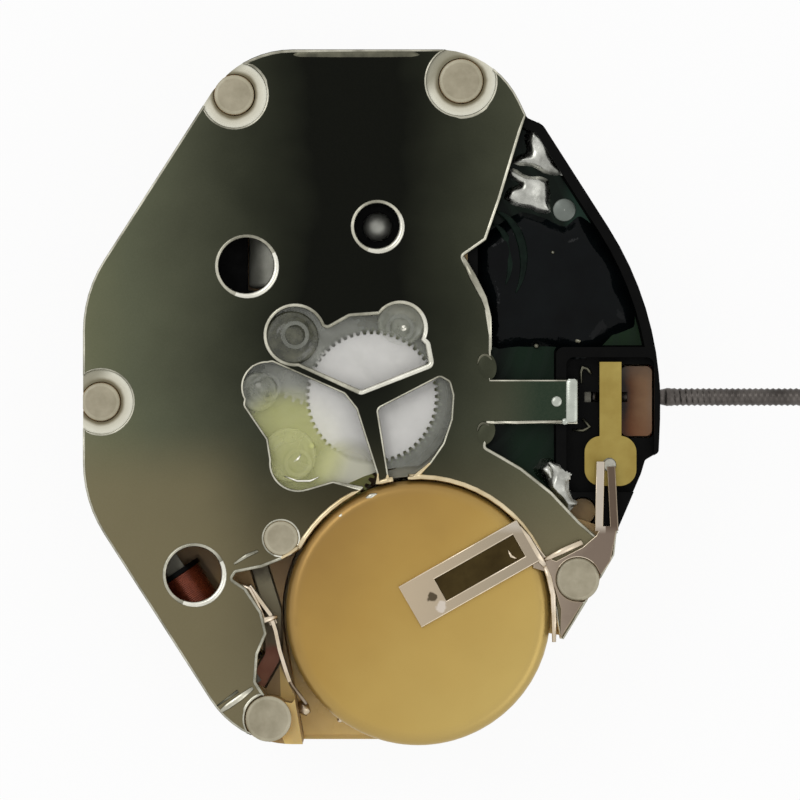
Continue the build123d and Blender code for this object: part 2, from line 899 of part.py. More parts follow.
# Black plastic block on the stem side, which carries the circuit board
with BuildPart() as circuit_block:
    with BuildSketch(Plane.XY.offset(web_top)):
        add(block_face(0))
        with Locations(block_post):
            Circle(block_post_radius + board_clearance, mode=Mode.SUBTRACT)
    extrude(amount=plate_low - web_top)
    with BuildSketch(Plane.XY.offset(board_low)):
        add(board_room)
    extrude(amount=plate_low, mode=Mode.SUBTRACT)
    with BuildSketch(Plane.XY.offset(lever_low - shake)):
        add(keyless)
    extrude(amount=plate_low, mode=Mode.SUBTRACT)
    with BuildSketch(Plane.XY.offset(web_top)):
        with Locations(((bearing_start + bearing_end) / 2, (bearing_low + bearing_high) / 2)):
            RectangleRounded(
                bearing_end - bearing_start + 2 * board_clearance,
                bearing_high - bearing_low + 2 * board_clearance,
                bearing_radius,
            )
        with Locations((groove_x, 0)):
            Rectangle(2 * (bearing_start - groove_x), peg_slot_width)
    extrude(amount=plate_low, mode=Mode.SUBTRACT)
    with Locations((clutch_start - clutch_travel - shake, 0, web_top)):
        Box(
            stem_shoulder - clutch_start + clutch_travel + 2 * shake,
            2 * (clutch_radius + clutch_clearance),
            stem_height + clutch_radius + shake - web_top,
            align=(Align.MIN, Align.CENTER, Align.MIN),
            mode=Mode.SUBTRACT,
        )
    with Locations((clutch_groove_start - clutch_travel - shake, 0, stem_height + clutch_radius)):
        Box(
            yoke_width + clutch_travel + 2 * shake,
            2 * (yoke_reach + shake),
            board_low - stem_height - clutch_radius,
            align=(Align.MIN, Align.CENTER, Align.MIN),
            mode=Mode.SUBTRACT,
        )
    spool(pilot_start - pilot_room, clutch_start, pilot_radius + stem_clearance, Mode.SUBTRACT)
    spool(stem_shoulder - shake, half_width + overrun, bearing_part_radius + stem_clearance, Mode.SUBTRACT)
    post(
        (lever_post_x, lever_post_y),
        lever_shoulder_radius + pin_clearance,
        web_top,
        plate_low,
        Mode.SUBTRACT,
    )

# Circuit board, its chip and its solder
with BuildPart() as circuit_board:
    with BuildSketch(Plane.XY.offset(board_low)):
        add(board_outline)
    extrude(amount=board_thickness)

with BuildPart() as ic_chip:
    with BuildSketch(Plane.XY.offset(board_top)):
        with Locations((chip_x, chip_y)):
            RectangleRounded(chip_size, chip_size, chip_radius)
    extrude(amount=chip_height)
    fillet(ic_chip.faces().sort_by(Axis.Z)[-1].edges(), chip_height / 2)

with BuildPart() as solder_pads:
    with BuildSketch(Plane.XY.offset(board_top)):
        for shares in pad_shares:
            add(sharp_face(shares))
        add(board_outline, mode=Mode.INTERSECT)
    extrude(amount=solder_height)
    with BuildSketch(Plane.XY.offset(board_top)):
        with Locations((dot_x, dot_y)):
            Circle(dot_radius)
        with Locations(*lead_joints):
            Circle(joint_radius)
    extrude(amount=solder_height)

# Crystal can lying along Y, with its two leads up to the board
with BuildPart() as quartz_crystal:
    with BuildSketch(Plane(origin=(crystal_x, crystal_y, coil_height), z_dir=(0, 1, 0))):
        Circle(crystal_radius)
    extrude(amount=crystal_length)
    fillet(quartz_crystal.faces().sort_by(Axis.Y)[0].edges(), crystal_edge)

with BuildPart() as crystal_leads:
    for row, side in enumerate((1, -1)):
        lead_x = crystal_x + side * lead_spacing / 2
        lead_y = crystal_top + lead_stub + row * lead_step
        rise_x = crystal_x + lead_spacing / 2 + lead_bend
        with BuildLine():
            wire = FilletPolyline(
                (lead_x, crystal_top, coil_height),
                (lead_x, lead_y, coil_height),
                (rise_x, lead_y, coil_height),
                (rise_x + lead_run, lead_y, board_top + lead_radius),
                (lead_end, lead_y, board_top + lead_radius),
                radius=lead_bend,
            )
        with BuildSketch(Plane(origin=wire @ 0, z_dir=wire % 0)):
            Circle(lead_radius)
        sweep(path=wire)

# Stator, and the coil on its core bar
with BuildPart() as stator:
    with BuildSketch(Plane.XY.offset(stator_low)):
        add(stator_face(0))
        with Locations(rotor_centre):
            Circle(rotor_radius + rotor_gap, mode=Mode.SUBTRACT)
    extrude(amount=stator_thickness)

coil_across = (-math.sin(math.radians(coil_angle)), math.cos(math.radians(coil_angle)), 0)
coil_along = (math.cos(math.radians(coil_angle)), math.sin(math.radians(coil_angle)), 0)
coil_plane = Plane(origin=(coil_x, coil_y, coil_height), x_dir=coil_across, z_dir=coil_along)

with BuildPart() as coil_core:
    with BuildSketch(Plane.XY.offset(coil_height - core_thickness / 2)):
        add(core_face(0))
    extrude(amount=core_thickness)

with BuildPart() as coil_winding:
    with BuildSketch(coil_plane.offset(flange_thickness)):
        Circle(coil_radius)
        Rectangle(core_width, core_thickness, mode=Mode.SUBTRACT)
    extrude(amount=coil_length - 2 * flange_thickness)

with BuildPart() as coil_flanges:
    for along in (0, coil_length - flange_thickness):
        with BuildSketch(coil_plane.offset(along)):
            Circle(flange_radius)
            Rectangle(core_width, core_thickness, mode=Mode.SUBTRACT)
        extrude(amount=flange_thickness)

# Wheels and pinions of the train
with BuildPart() as seconds_wheel:
    with BuildSketch(Plane.XY.offset(seconds_low)):
        add(gear_face(seconds_teeth, seconds_module, hands, fifth_angle))
        Circle(seconds_post_radius, mode=Mode.SUBTRACT)
    extrude(amount=wheel_thickness)

with BuildPart() as seconds_arbor:
    post(hands, seconds_post_radius, -seconds_post_drop, -cannon_drop)
    post(hands, seconds_post_radius - seconds_seat_step, -cannon_drop, bridge_low - shake)
    post(hands, arbor_radius, bridge_low - shake, plate_low - shake)
    with BuildSketch(Plane.XY.offset(third_low - pinion_overhang)):
        start = gap_start(seconds_pinion_teeth, hands, third_centre)
        add(gear_face(seconds_pinion_teeth, third_module, hands, start))
    extrude(amount=wheel_thickness + 2 * pinion_overhang)

with BuildPart() as fifth_wheel:
    post(fifth_centre, arbor_radius, web_top - pivot_depth + shake, plate_low - shake)
    with BuildSketch(Plane.XY.offset(fifth_low)):
        add(gear_face(fifth_teeth, rotor_module, fifth_centre, heading(fifth_centre, rotor_centre)))
    extrude(amount=wheel_thickness)
    with BuildSketch(Plane.XY.offset(fifth_low + wheel_thickness)):
        start = gap_start(fifth_pinion_teeth, fifth_centre, hands)
        add(gear_face(fifth_pinion_teeth, seconds_module, fifth_centre, start))
    extrude(amount=seconds_low - fifth_low + pinion_overhang)

with BuildPart() as rotor_magnet:
    post(rotor_centre, rotor_radius, magnet_low, magnet_top)
    post(rotor_centre, arbor_radius + press_gap, 0, bridge_low, Mode.SUBTRACT)

with BuildPart() as rotor_pinion:
    post(rotor_centre, arbor_radius, web_top - pivot_depth + shake, plate_low - shake)
    post(rotor_centre, hub_radius, magnet_top, fifth_low)
    with BuildSketch(Plane.XY.offset(fifth_low - pinion_overhang)):
        start = gap_start(rotor_pinion_teeth, rotor_centre, fifth_centre)
        add(gear_face(rotor_pinion_teeth, rotor_module, rotor_centre, start))
    extrude(amount=wheel_thickness + 2 * pinion_overhang)

with BuildPart() as third_wheel:
    post(third_centre, arbor_radius, web_top - pivot_depth + shake, plate_low - shake)
    post(third_centre, hub_radius, centre_low + wheel_thickness, third_low)
    with BuildSketch(Plane.XY.offset(third_low)):
        add(gear_face(third_teeth, third_module, third_centre, heading(third_centre, hands)))
    extrude(amount=wheel_thickness)
    with BuildSketch(Plane.XY.offset(centre_low - pinion_overhang)):
        start = gap_start(third_pinion_teeth, third_centre, hands)
        add(gear_face(third_pinion_teeth, centre_module, third_centre, start))
    extrude(amount=wheel_thickness + 2 * pinion_overhang)

with BuildPart() as centre_wheel:
    with BuildSketch(Plane.XY.offset(centre_low)):
        add(gear_face(centre_teeth, centre_module, hands, third_angle))
        Circle(seconds_post_radius + post_clearance, mode=Mode.SUBTRACT)
    extrude(amount=wheel_thickness)

# Motion works on the dial side
with BuildPart() as cannon_pinion:
    post(hands, minute_seat_radius, -cannon_drop, -hour_pipe_drop)
    post(hands, cannon_waist_radius, -hour_pipe_drop, -guide_drop)
    post(hands, minute_seat_radius, -guide_drop, minute_low - pinion_overhang)
    post(hands, cannon_neck_radius, minute_low - pinion_overhang, centre_low)
    with BuildSketch(Plane.XY.offset(minute_low - pinion_overhang)):
        start = gap_start(cannon_teeth, hands, minute_centre)
        add(gear_face(cannon_teeth, minute_module, hands, start))
    extrude(amount=wheel_thickness + 2 * pinion_overhang)
    post(hands, seconds_post_radius + post_clearance, -cannon_drop, centre_low, Mode.SUBTRACT)

minute_start = heading(minute_centre, hands)
with BuildPart() as minute_wheel:
    with BuildSketch(Plane.XY.offset(minute_low)):
        add(gear_face(minute_teeth, minute_module, minute_centre, minute_start))
    extrude(amount=wheel_thickness)
    with BuildSketch(Plane.XY.offset(hour_low - pinion_overhang)):
        start = gap_start(minute_pinion_teeth, minute_centre, hands)
        add(gear_face(minute_pinion_teeth, hour_module, minute_centre, start))
    extrude(amount=minute_low - hour_low + pinion_overhang)
    post(minute_centre, wheel_post_radius + post_clearance, 0, recess_depth, Mode.SUBTRACT)

with BuildPart() as hour_wheel:
    with BuildSketch(Plane.XY.offset(hour_low)):
        add(gear_face(hour_teeth, hour_module, hands, minute_angle))
    extrude(amount=wheel_thickness)
    post(hands, hour_pipe_radius, -hour_pipe_drop, hour_low)
    post(hands, minute_seat_radius + post_clearance, -hour_pipe_drop, recess_depth, Mode.SUBTRACT)

# A tooth of the minute wheel stands a little off the line to the setting wheel, and the gap follows it
minute_pitch = 360 / minute_teeth
tooth_off = (minute_start - setting_angle + minute_pitch / 2) % minute_pitch - minute_pitch / 2
setting_turn = tooth_off * minute_teeth / setting_teeth
setting_start = gap_start(setting_teeth, setting_centre, minute_centre) - setting_turn
with BuildPart() as setting_wheel:
    with BuildSketch(Plane.XY.offset(minute_low)):
        add(gear_face(setting_teeth, minute_module, setting_centre, setting_start))
        with Locations(setting_centre):
            Circle(wheel_post_radius + post_clearance, mode=Mode.SUBTRACT)
    extrude(amount=setting_height)

# Clear bridge over the train, with its moulded bosses and pivot holes
with BuildPart() as train_bridge:
    with BuildSketch(Plane.XY.offset(bridge_low)):
        add(train_room(gear_clearance + rim_wall - plate_edge_gap))
        for place, radius in zip(pin_places, pin_radii):
            with Locations(place):
                Circle(radius + plate_edge_gap, mode=Mode.SUBTRACT)
        add(crystal_face(plate_edge_gap), mode=Mode.SUBTRACT)
        add(battery_slot(battery_clearance + rim_wall), mode=Mode.SUBTRACT)
    extrude(amount=bridge_thickness)
    for place in boss_places:
        post(place, boss_radius, plate_low, back_height - shake)
        post(place, boss_radius - boss_wall, plate_low, back_height, Mode.SUBTRACT)
    for place in (hands, fifth_centre, rotor_centre, third_centre):
        post(place, arbor_radius + pivot_clearance, bridge_low, back_height, Mode.SUBTRACT)

# Back plate: stamped steel, with windows, sight holes, the tongue and its bent tab
with BuildPart() as back_plate:
    with BuildSketch(Plane.XY.offset(plate_low)):
        add(rim_face(0))
        add(rounded_face(circuit_window_shares, window_edge_corner), mode=Mode.SUBTRACT)
        add(battery_slot(plate_edge_gap), mode=Mode.SUBTRACT)
        add(crescent, mode=Mode.SUBTRACT)
        add(sharp_face(plate_end_shares), mode=Mode.SUBTRACT)
        for window in windows:
            add(window, mode=Mode.SUBTRACT)
        with Locations(*large_holes):
            Circle(large_hole, mode=Mode.SUBTRACT)
        with Locations((stud_x, stud_y)):
            Circle(stud_hole, mode=Mode.SUBTRACT)
        for place, radius in zip(pin_places, pin_radii):
            with Locations(place):
                Circle(radius + pin_clearance, mode=Mode.SUBTRACT)
        with Locations((tongue_start, (tongue_low + tongue_high) / 2)):
            Rectangle(tongue_end - tongue_start, tongue_high - tongue_low, align=forward)
    extrude(amount=plate_thickness)
    for place, radius in list(zip(pin_places, pin_radii))[:recessed_pins]:
        post(
            place,
            radius + pin_recess,
            back_height - plate_thickness * recess_depth_share,
            back_height,
            Mode.SUBTRACT,
        )
    with Locations((tongue_end, (tongue_low + tongue_high) / 2, plate_low - tab_drop)):
        Box(
            tab_thickness,
            tongue_high - tongue_low,
            tab_drop,
            align=(Align.MAX, Align.CENTER, Align.MIN),
        )

# Battery: positive can, insulating gasket and negative cap
with BuildPart() as battery_can:
    post(battery_centre, battery_radius, battery_low + cap_rise, battery_top)
    top_edge = battery_can.edges().filter_by(GeomType.CIRCLE).sort_by(Axis.Z)[-1]
    fillet(top_edge, battery_edge)
    post(
        battery_centre,
        battery_radius - can_wall,
        battery_low + cap_rise,
        battery_top - can_wall,
        Mode.SUBTRACT,
    )

with BuildPart() as battery_gasket:
    gasket_low = battery_low + gasket_rise
    post(battery_centre, battery_radius - can_wall, gasket_low, gasket_low + gasket_height)
    post(
        battery_centre,
        battery_radius - can_wall - gasket_width,
        gasket_low,
        gasket_low + gasket_height,
        Mode.SUBTRACT,
    )

with BuildPart() as battery_cap:
    post(battery_centre, battery_radius - can_wall - gasket_width, battery_low, gasket_low + gasket_height)
    bottom_edge = battery_cap.edges().filter_by(GeomType.CIRCLE).sort_by(Axis.Z)[0]
    fillet(bottom_edge, cap_rise)
    post(
        battery_centre,
        battery_radius - can_wall,
        gasket_low + gasket_height,
        battery_top - can_wall,
    )

with BuildPart() as battery_insulator:
    with BuildSketch(Plane.XY.offset(pocket_floor)):
        add(battery_slot(battery_clearance - film_gap))
        add(rim_face(film_margin), mode=Mode.INTERSECT)
    extrude(amount=insulator_thickness)

with BuildPart() as negative_contact:
    with BuildSketch(Plane.XY.offset(pocket_floor + insulator_thickness)):
        with Locations(battery_centre):
            Circle(contact_radius)
            Rectangle(battery_radius, contact_width, align=forward, rotation=contact_angle)
    extrude(amount=contact_thickness)

# Side contact: a thin blade on edge beside the battery
with BuildPart() as side_contact:
    with BuildSketch(Plane.XY.offset(plate_low - blade_height)):
        add(strip_face(blade_shares, blade_thickness, blade_bend))
    extrude(amount=blade_height)
    with BuildSketch(Plane.XY.offset(plate_low - blade_height)):
        add(strip_face(lug_shares, lug_width, blade_bend))
    extrude(amount=blade_thickness)

# Strap over the battery with its sunk slot, its root round the corner pin and the detent spring's prongs
with BuildPart() as contact_strap:
    with BuildSketch(Plane.XY.offset(back_height)):
        add(sharp_face(strap_root_shares))
        with Locations(pin_places[strap_pin]):
            Circle(pin_radii[strap_pin] + pin_clearance, mode=Mode.SUBTRACT)
        for shares in prong_shares:
            add(strip_face(shares, prong_width, prong_width))
    extrude(amount=strap_thickness)
    with BuildSketch(Plane.XY.offset(strap_top - strap_thickness)):
        with Locations(Location((*strap_foot, 0), (0, 0, strap_angle))):
            Rectangle(strap_length, strap_width, align=backward)
    extrude(amount=strap_thickness)
    with BuildSketch(Plane.XY.offset(strap_top)):
        with Locations(Location((*strap_foot, 0), (0, 0, strap_angle))):
            with Locations((-strap_slot_end, 0)):
                Rectangle(strap_slot_length, strap_slot_width, align=backward)
    extrude(amount=-strap_slot_depth, mode=Mode.SUBTRACT)

# Stem with its pilot, its square, the thick part in the bearing, and the thread's outer size
with BuildPart() as stem:
    spool(stem_shoulder, rim_neck_x, bearing_part_radius)
    with Locations(Location((rim_neck_x, 0, stem_height), (0, 90, 0))):
        Cone(neck_radius, stem_radius, neck_length, align=base)
    spool(rim_neck_x + neck_length, stem_end, stem_radius)
    with BuildSketch(Plane(origin=(square_start, 0, stem_height), z_dir=(1, 0, 0))):
        Rectangle(stem_square, stem_square)
    extrude(amount=stem_shoulder - square_start)
    spool(pilot_start, square_start, pilot_radius)
    with BuildSketch(Plane(origin=(groove_x - groove_width / 2, 0, stem_height), z_dir=(1, 0, 0))):
        Circle(bearing_part_radius + overrun)
        Circle(groove_radius, mode=Mode.SUBTRACT)
    extrude(amount=groove_width, mode=Mode.SUBTRACT)

# Sliding clutch with its face teeth, and the yoke in its groove
with BuildPart() as clutch:
    spool(clutch_start, clutch_start + clutch_length, clutch_radius)
    with BuildSketch(Plane(origin=(clutch_groove_start, 0, stem_height), z_dir=(1, 0, 0))):
        Circle(clutch_radius + overrun)
        Circle(clutch_groove_radius, mode=Mode.SUBTRACT)
    extrude(amount=clutch_groove_width, mode=Mode.SUBTRACT)
    with BuildSketch(Plane(origin=(clutch_start, 0, stem_height), z_dir=(1, 0, 0))):
        Rectangle(clutch_bore, clutch_bore)
    extrude(amount=clutch_length, mode=Mode.SUBTRACT)
    with BuildSketch(Plane(origin=(clutch_start, 0, stem_height), z_dir=(1, 0, 0))):
        with PolarLocations(clutch_radius, clutch_teeth):
            Rectangle(clutch_radius, clutch_tooth, align=(Align.CENTER, Align.CENTER))
    extrude(amount=clutch_tooth, mode=Mode.SUBTRACT)

yoke_low = stem_height + clutch_radius + yoke_gap
yoke_x = clutch_groove_start + (clutch_groove_width - yoke_thickness) / 2
with BuildPart() as yoke:
    with BuildSketch(Plane.XY.offset(yoke_low)):
        with Locations((yoke_x, 0)):
            Rectangle(yoke_width - yoke_thickness, 2 * yoke_reach, align=forward)
    extrude(amount=yoke_thickness)
    with BuildSketch(Plane(origin=(yoke_x, 0, 0), x_dir=(0, 1, 0), z_dir=(1, 0, 0))):
        with Locations((0, stem_height)):
            Rectangle(
                2 * (clutch_radius - yoke_gap),
                yoke_low - stem_height,
                align=(Align.CENTER, Align.MIN),
            )
            Circle(clutch_groove_radius + yoke_gap, mode=Mode.SUBTRACT)
    extrude(amount=yoke_thickness)

# Brass setting lever with the peg that rides in the stem's groove
with BuildPart() as setting_lever:
    with BuildSketch(Plane.XY.offset(lever_low)):
        with Locations((lever_bar_x, lever_bar_reach)):
            Rectangle(
                lever_bar_width,
                lever_bar_reach - lever_paddle_y,
                align=(Align.CENTER, Align.MAX),
            )
        with Locations((lever_bar_x, lever_paddle_y)):
            RectangleRounded(lever_paddle_width, lever_paddle_length, lever_paddle_radius)
        with Locations((lever_post_x, lever_post_y)):
            Circle(lever_post_radius + post_clearance, mode=Mode.SUBTRACT)
    extrude(amount=lever_thickness)
    post((groove_x, 0), peg_radius, stem_height + bearing_part_radius - peg_bite, lever_low)

with BuildPart() as lever_post:
    post((lever_post_x, lever_post_y), lever_post_radius, recess_depth + shake, back_height - film_gap)
    post((lever_post_x, lever_post_y), lever_shoulder_radius, web_top, lever_low - film_gap)

# Domed stud in its sight hole
with BuildPart() as plate_stud:
    post((stud_x, stud_y), stud_shank_radius, plate_low - stud_depth - stud_shank, plate_low - stud_depth)
    post((stud_x, stud_y), stud_radius, plate_low - stud_depth, plate_low - stud_depth + stud_head)
    fillet(plate_stud.edges().filter_by(GeomType.CIRCLE).sort_by(Axis.Z)[-1], stud_head * dome_share)

# Dial side cover and its screws
with BuildPart() as dial_cover:
    with BuildSketch():
        add(cover_face(0))
        Circle(hour_pipe_radius + hand_room, mode=Mode.SUBTRACT)
        with Locations(*screw_places):
            Circle(screw_radius + screw_clearance, mode=Mode.SUBTRACT)
    extrude(amount=cover_thickness)
    for place in screw_places:
        post(place, screw_head_radius + screw_clearance, 0, screw_head_height, Mode.SUBTRACT)

with BuildPart() as cover_screws:
    for place in screw_places:
        post(place, screw_head_radius, 0, screw_head_height)
        post(place, screw_radius, screw_head_height, cover_thickness + screw_length)
        with Locations(place):
            Box(
                2 * screw_head_radius,
                screw_slot,
                screw_head_height * screw_slot_share_of_head,
                align=base,
                mode=Mode.SUBTRACT,
            )

pieces = {
    "main_plate": main_plate,
    "circuit_block": circuit_block,
    "circuit_board": circuit_board,
    "ic_chip": ic_chip,
    "solder_pads": solder_pads,
    "quartz_crystal": quartz_crystal,
    "crystal_leads": crystal_leads,
    "stator": stator,
    "coil_core": coil_core,
    "coil_winding": coil_winding,
    "coil_flanges": coil_flanges,
    "seconds_wheel": seconds_wheel,
    "seconds_arbor": seconds_arbor,
    "fifth_wheel": fifth_wheel,
    "rotor_magnet": rotor_magnet,
    "rotor_pinion": rotor_pinion,
    "third_wheel": third_wheel,
    "centre_wheel": centre_wheel,
    "cannon_pinion": cannon_pinion,
    "minute_wheel": minute_wheel,
    "hour_wheel": hour_wheel,
    "setting_wheel": setting_wheel,
    "train_bridge": train_bridge,
    "back_plate": back_plate,
    "battery_can": battery_can,
    "battery_gasket": battery_gasket,
    "battery_cap": battery_cap,
    "battery_insulator": battery_insulator,
    "negative_contact": negative_contact,
    "side_contact": side_contact,
    "contact_strap": contact_strap,
    "stem": stem,
    "clutch": clutch,
    "yoke": yoke,
    "setting_lever": setting_lever,
    "lever_post": lever_post,
    "plate_stud": plate_stud,
    "dial_cover": dial_cover,
    "cover_screws": cover_screws,
}
os.makedirs("parts", exist_ok=True)
for label, piece in pieces.items():
    piece.part.label = label
    export_step(piece.part, f"parts/{label}.step")
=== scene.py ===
import json
import math

import bmesh
import bpy
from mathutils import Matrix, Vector


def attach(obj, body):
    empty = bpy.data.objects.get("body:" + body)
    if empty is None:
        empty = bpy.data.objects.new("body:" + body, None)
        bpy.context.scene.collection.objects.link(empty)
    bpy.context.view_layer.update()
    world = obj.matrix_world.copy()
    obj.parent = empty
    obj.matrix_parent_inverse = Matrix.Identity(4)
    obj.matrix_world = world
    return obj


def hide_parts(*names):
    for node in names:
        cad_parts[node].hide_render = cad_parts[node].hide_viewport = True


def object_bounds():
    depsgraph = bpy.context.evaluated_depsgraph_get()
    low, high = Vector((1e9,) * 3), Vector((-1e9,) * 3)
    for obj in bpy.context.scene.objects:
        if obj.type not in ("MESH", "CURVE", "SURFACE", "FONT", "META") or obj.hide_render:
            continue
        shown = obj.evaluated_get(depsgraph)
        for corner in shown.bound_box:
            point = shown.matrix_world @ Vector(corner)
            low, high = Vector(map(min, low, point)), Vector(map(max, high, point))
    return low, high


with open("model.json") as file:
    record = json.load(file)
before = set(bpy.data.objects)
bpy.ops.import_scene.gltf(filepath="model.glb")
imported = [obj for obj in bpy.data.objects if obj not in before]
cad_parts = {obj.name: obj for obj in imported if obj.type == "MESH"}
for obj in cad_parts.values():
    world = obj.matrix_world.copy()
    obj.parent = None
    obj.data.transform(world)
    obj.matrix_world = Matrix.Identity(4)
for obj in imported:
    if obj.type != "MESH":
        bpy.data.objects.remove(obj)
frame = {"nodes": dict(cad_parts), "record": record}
cad_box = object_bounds()
nodes = frame["nodes"]
MM = 0.001

# Places in millimetres, on the frame's axes
BATTERY = (1.18, -5.53)
BATTERY_RADIUS = 3.4
PLATE_TOP = 2.95
PLATE_LOW = 2.75
BOARD_TOP = 2.35
STEM_Z = 1.55
PINS = [
    (-3.53, 7.734, 0.51),
    (2.279, 8.09, 0.56),
    (-6.941, -0.125, 0.49),
    (-2.649, -8.241, 0.59),
    (5.269, -4.664, 0.56),
    (-2.331, -3.613, 0.44),
]
RECESS = 0.33
# The camera's view: millimetres to a pixel, and the pixel of the hands' axis
PIXEL = 0.0256
AXIS_PIXEL = (372, 397)
VIEW_WIDTH = 0.02048
# Half-widths of the bright rims
CAN_RIM = 0.075
TONGUE_RIM = 0.022
WIDE_RIM = 0.045
PLAIN_RIM = 0.028
BEAD_SIDES = 8
# A loop of the back plate that reaches further than this is its outline
OUTLINE_REACH = 10
SIGHT_HOLES = [(-3.212, 3.355, 0.77), (0.136, 4.37, 0.64)]


def srgb(r, g, b):
    """Linear colour of an 8-bit screen colour."""
    out = []
    for v in (r, g, b):
        v /= 255
        out.append(v / 12.92 if v <= 0.04045 else ((v + 0.055) / 1.055) ** 2.4)
    return (*out, 1.0)


class Tree:
    """Short calls that add nodes to one material."""

    def __init__(self, name):
        self.material = bpy.data.materials.new(name)
        self.material.use_nodes = True
        self.nodes = self.material.node_tree.nodes
        self.links = self.material.node_tree.links
        self.bsdf = self.nodes["Principled BSDF"]
        coords = self.nodes.new("ShaderNodeTexCoord")
        self.mm = self.mapping(coords.outputs["Object"], scale=(1000, 1000, 1000))

    def link(self, a, b):
        self.links.new(a, b)

    def mapping(self, source, scale=(1, 1, 1), turn=(0, 0, 0)):
        node = self.nodes.new("ShaderNodeMapping")
        node.inputs["Scale"].default_value = scale
        node.inputs["Rotation"].default_value = turn
        self.link(source, node.inputs["Vector"])
        return node.outputs["Vector"]

    def noise(self, vector, scale, detail=4, rough=0.55, distort=0.0):
        node = self.nodes.new("ShaderNodeTexNoise")
        node.inputs["Scale"].default_value = scale
        node.inputs["Detail"].default_value = detail
        node.inputs["Roughness"].default_value = rough
        node.inputs["Distortion"].default_value = distort
        self.link(vector, node.inputs["Vector"])
        return node.outputs["Fac"]

    def ramp(self, factor, stops):
        node = self.nodes.new("ShaderNodeValToRGB")
        line = node.color_ramp.elements
        while len(line) < len(stops):
            line.new(0.5)
        for item, (place, colour) in zip(line, stops):
            item.position = place
            item.color = colour
        self.link(factor, node.inputs["Fac"])
        return node.outputs["Color"]

    def span(self, value, low, high, to_low=0.0, to_high=1.0, smooth=False):
        node = self.nodes.new("ShaderNodeMapRange")
        if smooth:
            node.interpolation_type = "SMOOTHSTEP"
        node.inputs["From Min"].default_value = low
        node.inputs["From Max"].default_value = high
        node.inputs["To Min"].default_value = to_low
        node.inputs["To Max"].default_value = to_high
        self.link(value, node.inputs["Value"])
        return node.outputs["Result"]

    def mix(self, factor, a, b):
        node = self.nodes.new("ShaderNodeMix")
        node.data_type = "RGBA"
        self.link(factor, node.inputs["Factor"])
        sockets = [s for s in node.inputs if s.type == "RGBA"]
        for socket, value in zip(sockets, (a, b)):
            if isinstance(value, tuple):
                socket.default_value = value
            else:
                self.link(value, socket)
        return [s for s in node.outputs if s.type == "RGBA"][0]

    def math(self, kind, a, b=0.0):
        node = self.nodes.new("ShaderNodeMath")
        node.operation = kind
        for socket, value in zip(node.inputs, (a, b)):
            if isinstance(value, (int, float)):
                socket.default_value = value
            else:
                self.link(value, socket)
        return node.outputs[0]

    def distance(self, vector, point):
        node = self.nodes.new("ShaderNodeVectorMath")
        node.operation = "DISTANCE"
        self.link(vector, node.inputs[0])
        node.inputs[1].default_value = point
        return node.outputs["Value"]

    def axis(self, vector, which):
        node = self.nodes.new("ShaderNodeSeparateXYZ")
        self.link(vector, node.inputs[0])
        return node.outputs[which]

    def bump(self, height, strength, depth_mm):
        node = self.nodes.new("ShaderNodeBump")
        node.inputs["Strength"].default_value = strength
        node.inputs["Distance"].default_value = depth_mm * MM
        self.link(height, node.inputs["Height"])
        return node.outputs["Normal"]

    def vary(self, noise, low=0.0, high=1.0):
        """Middle of a noise, spread over a range."""
        return self.span(noise, 0.3, 0.7, low, high)

    def finish(self, colour, rough, bump, more=None):
        """Material with a colour, a noise with its range of roughness, a bump and any other sockets."""
        sockets = {"Base Color": colour, "Roughness": self.vary(*rough), "Normal": bump}
        return self.set({**sockets, **(more or {})})

    def set(self, sockets):
        for name, value in sockets.items():
            socket = self.bsdf.inputs[name]
            if hasattr(value, "links"):
                self.link(value, socket)
            else:
                socket.default_value = value
        return self.material


def surface(name, dark, light, rough, metal, size, grain, depth, strength=0.3, stretch=(1, 1, 1), more=None):
    """Material with a mottled colour, a varied roughness and a fine bump."""
    tree = Tree(name)
    tone = tree.noise(tree.mm, size, 5, 0.6)
    spread = tree.noise(tree.mm, size * 3, 3)
    fine = tree.noise(tree.mapping(tree.mm, scale=stretch), grain, 3)
    colour = tree.ramp(tree.vary(tone), [(0, dark), (1, light)])
    return tree.finish(
        colour, (spread, *rough), tree.bump(fine, strength, depth), {"Metallic": metal, **(more or {})}
    )


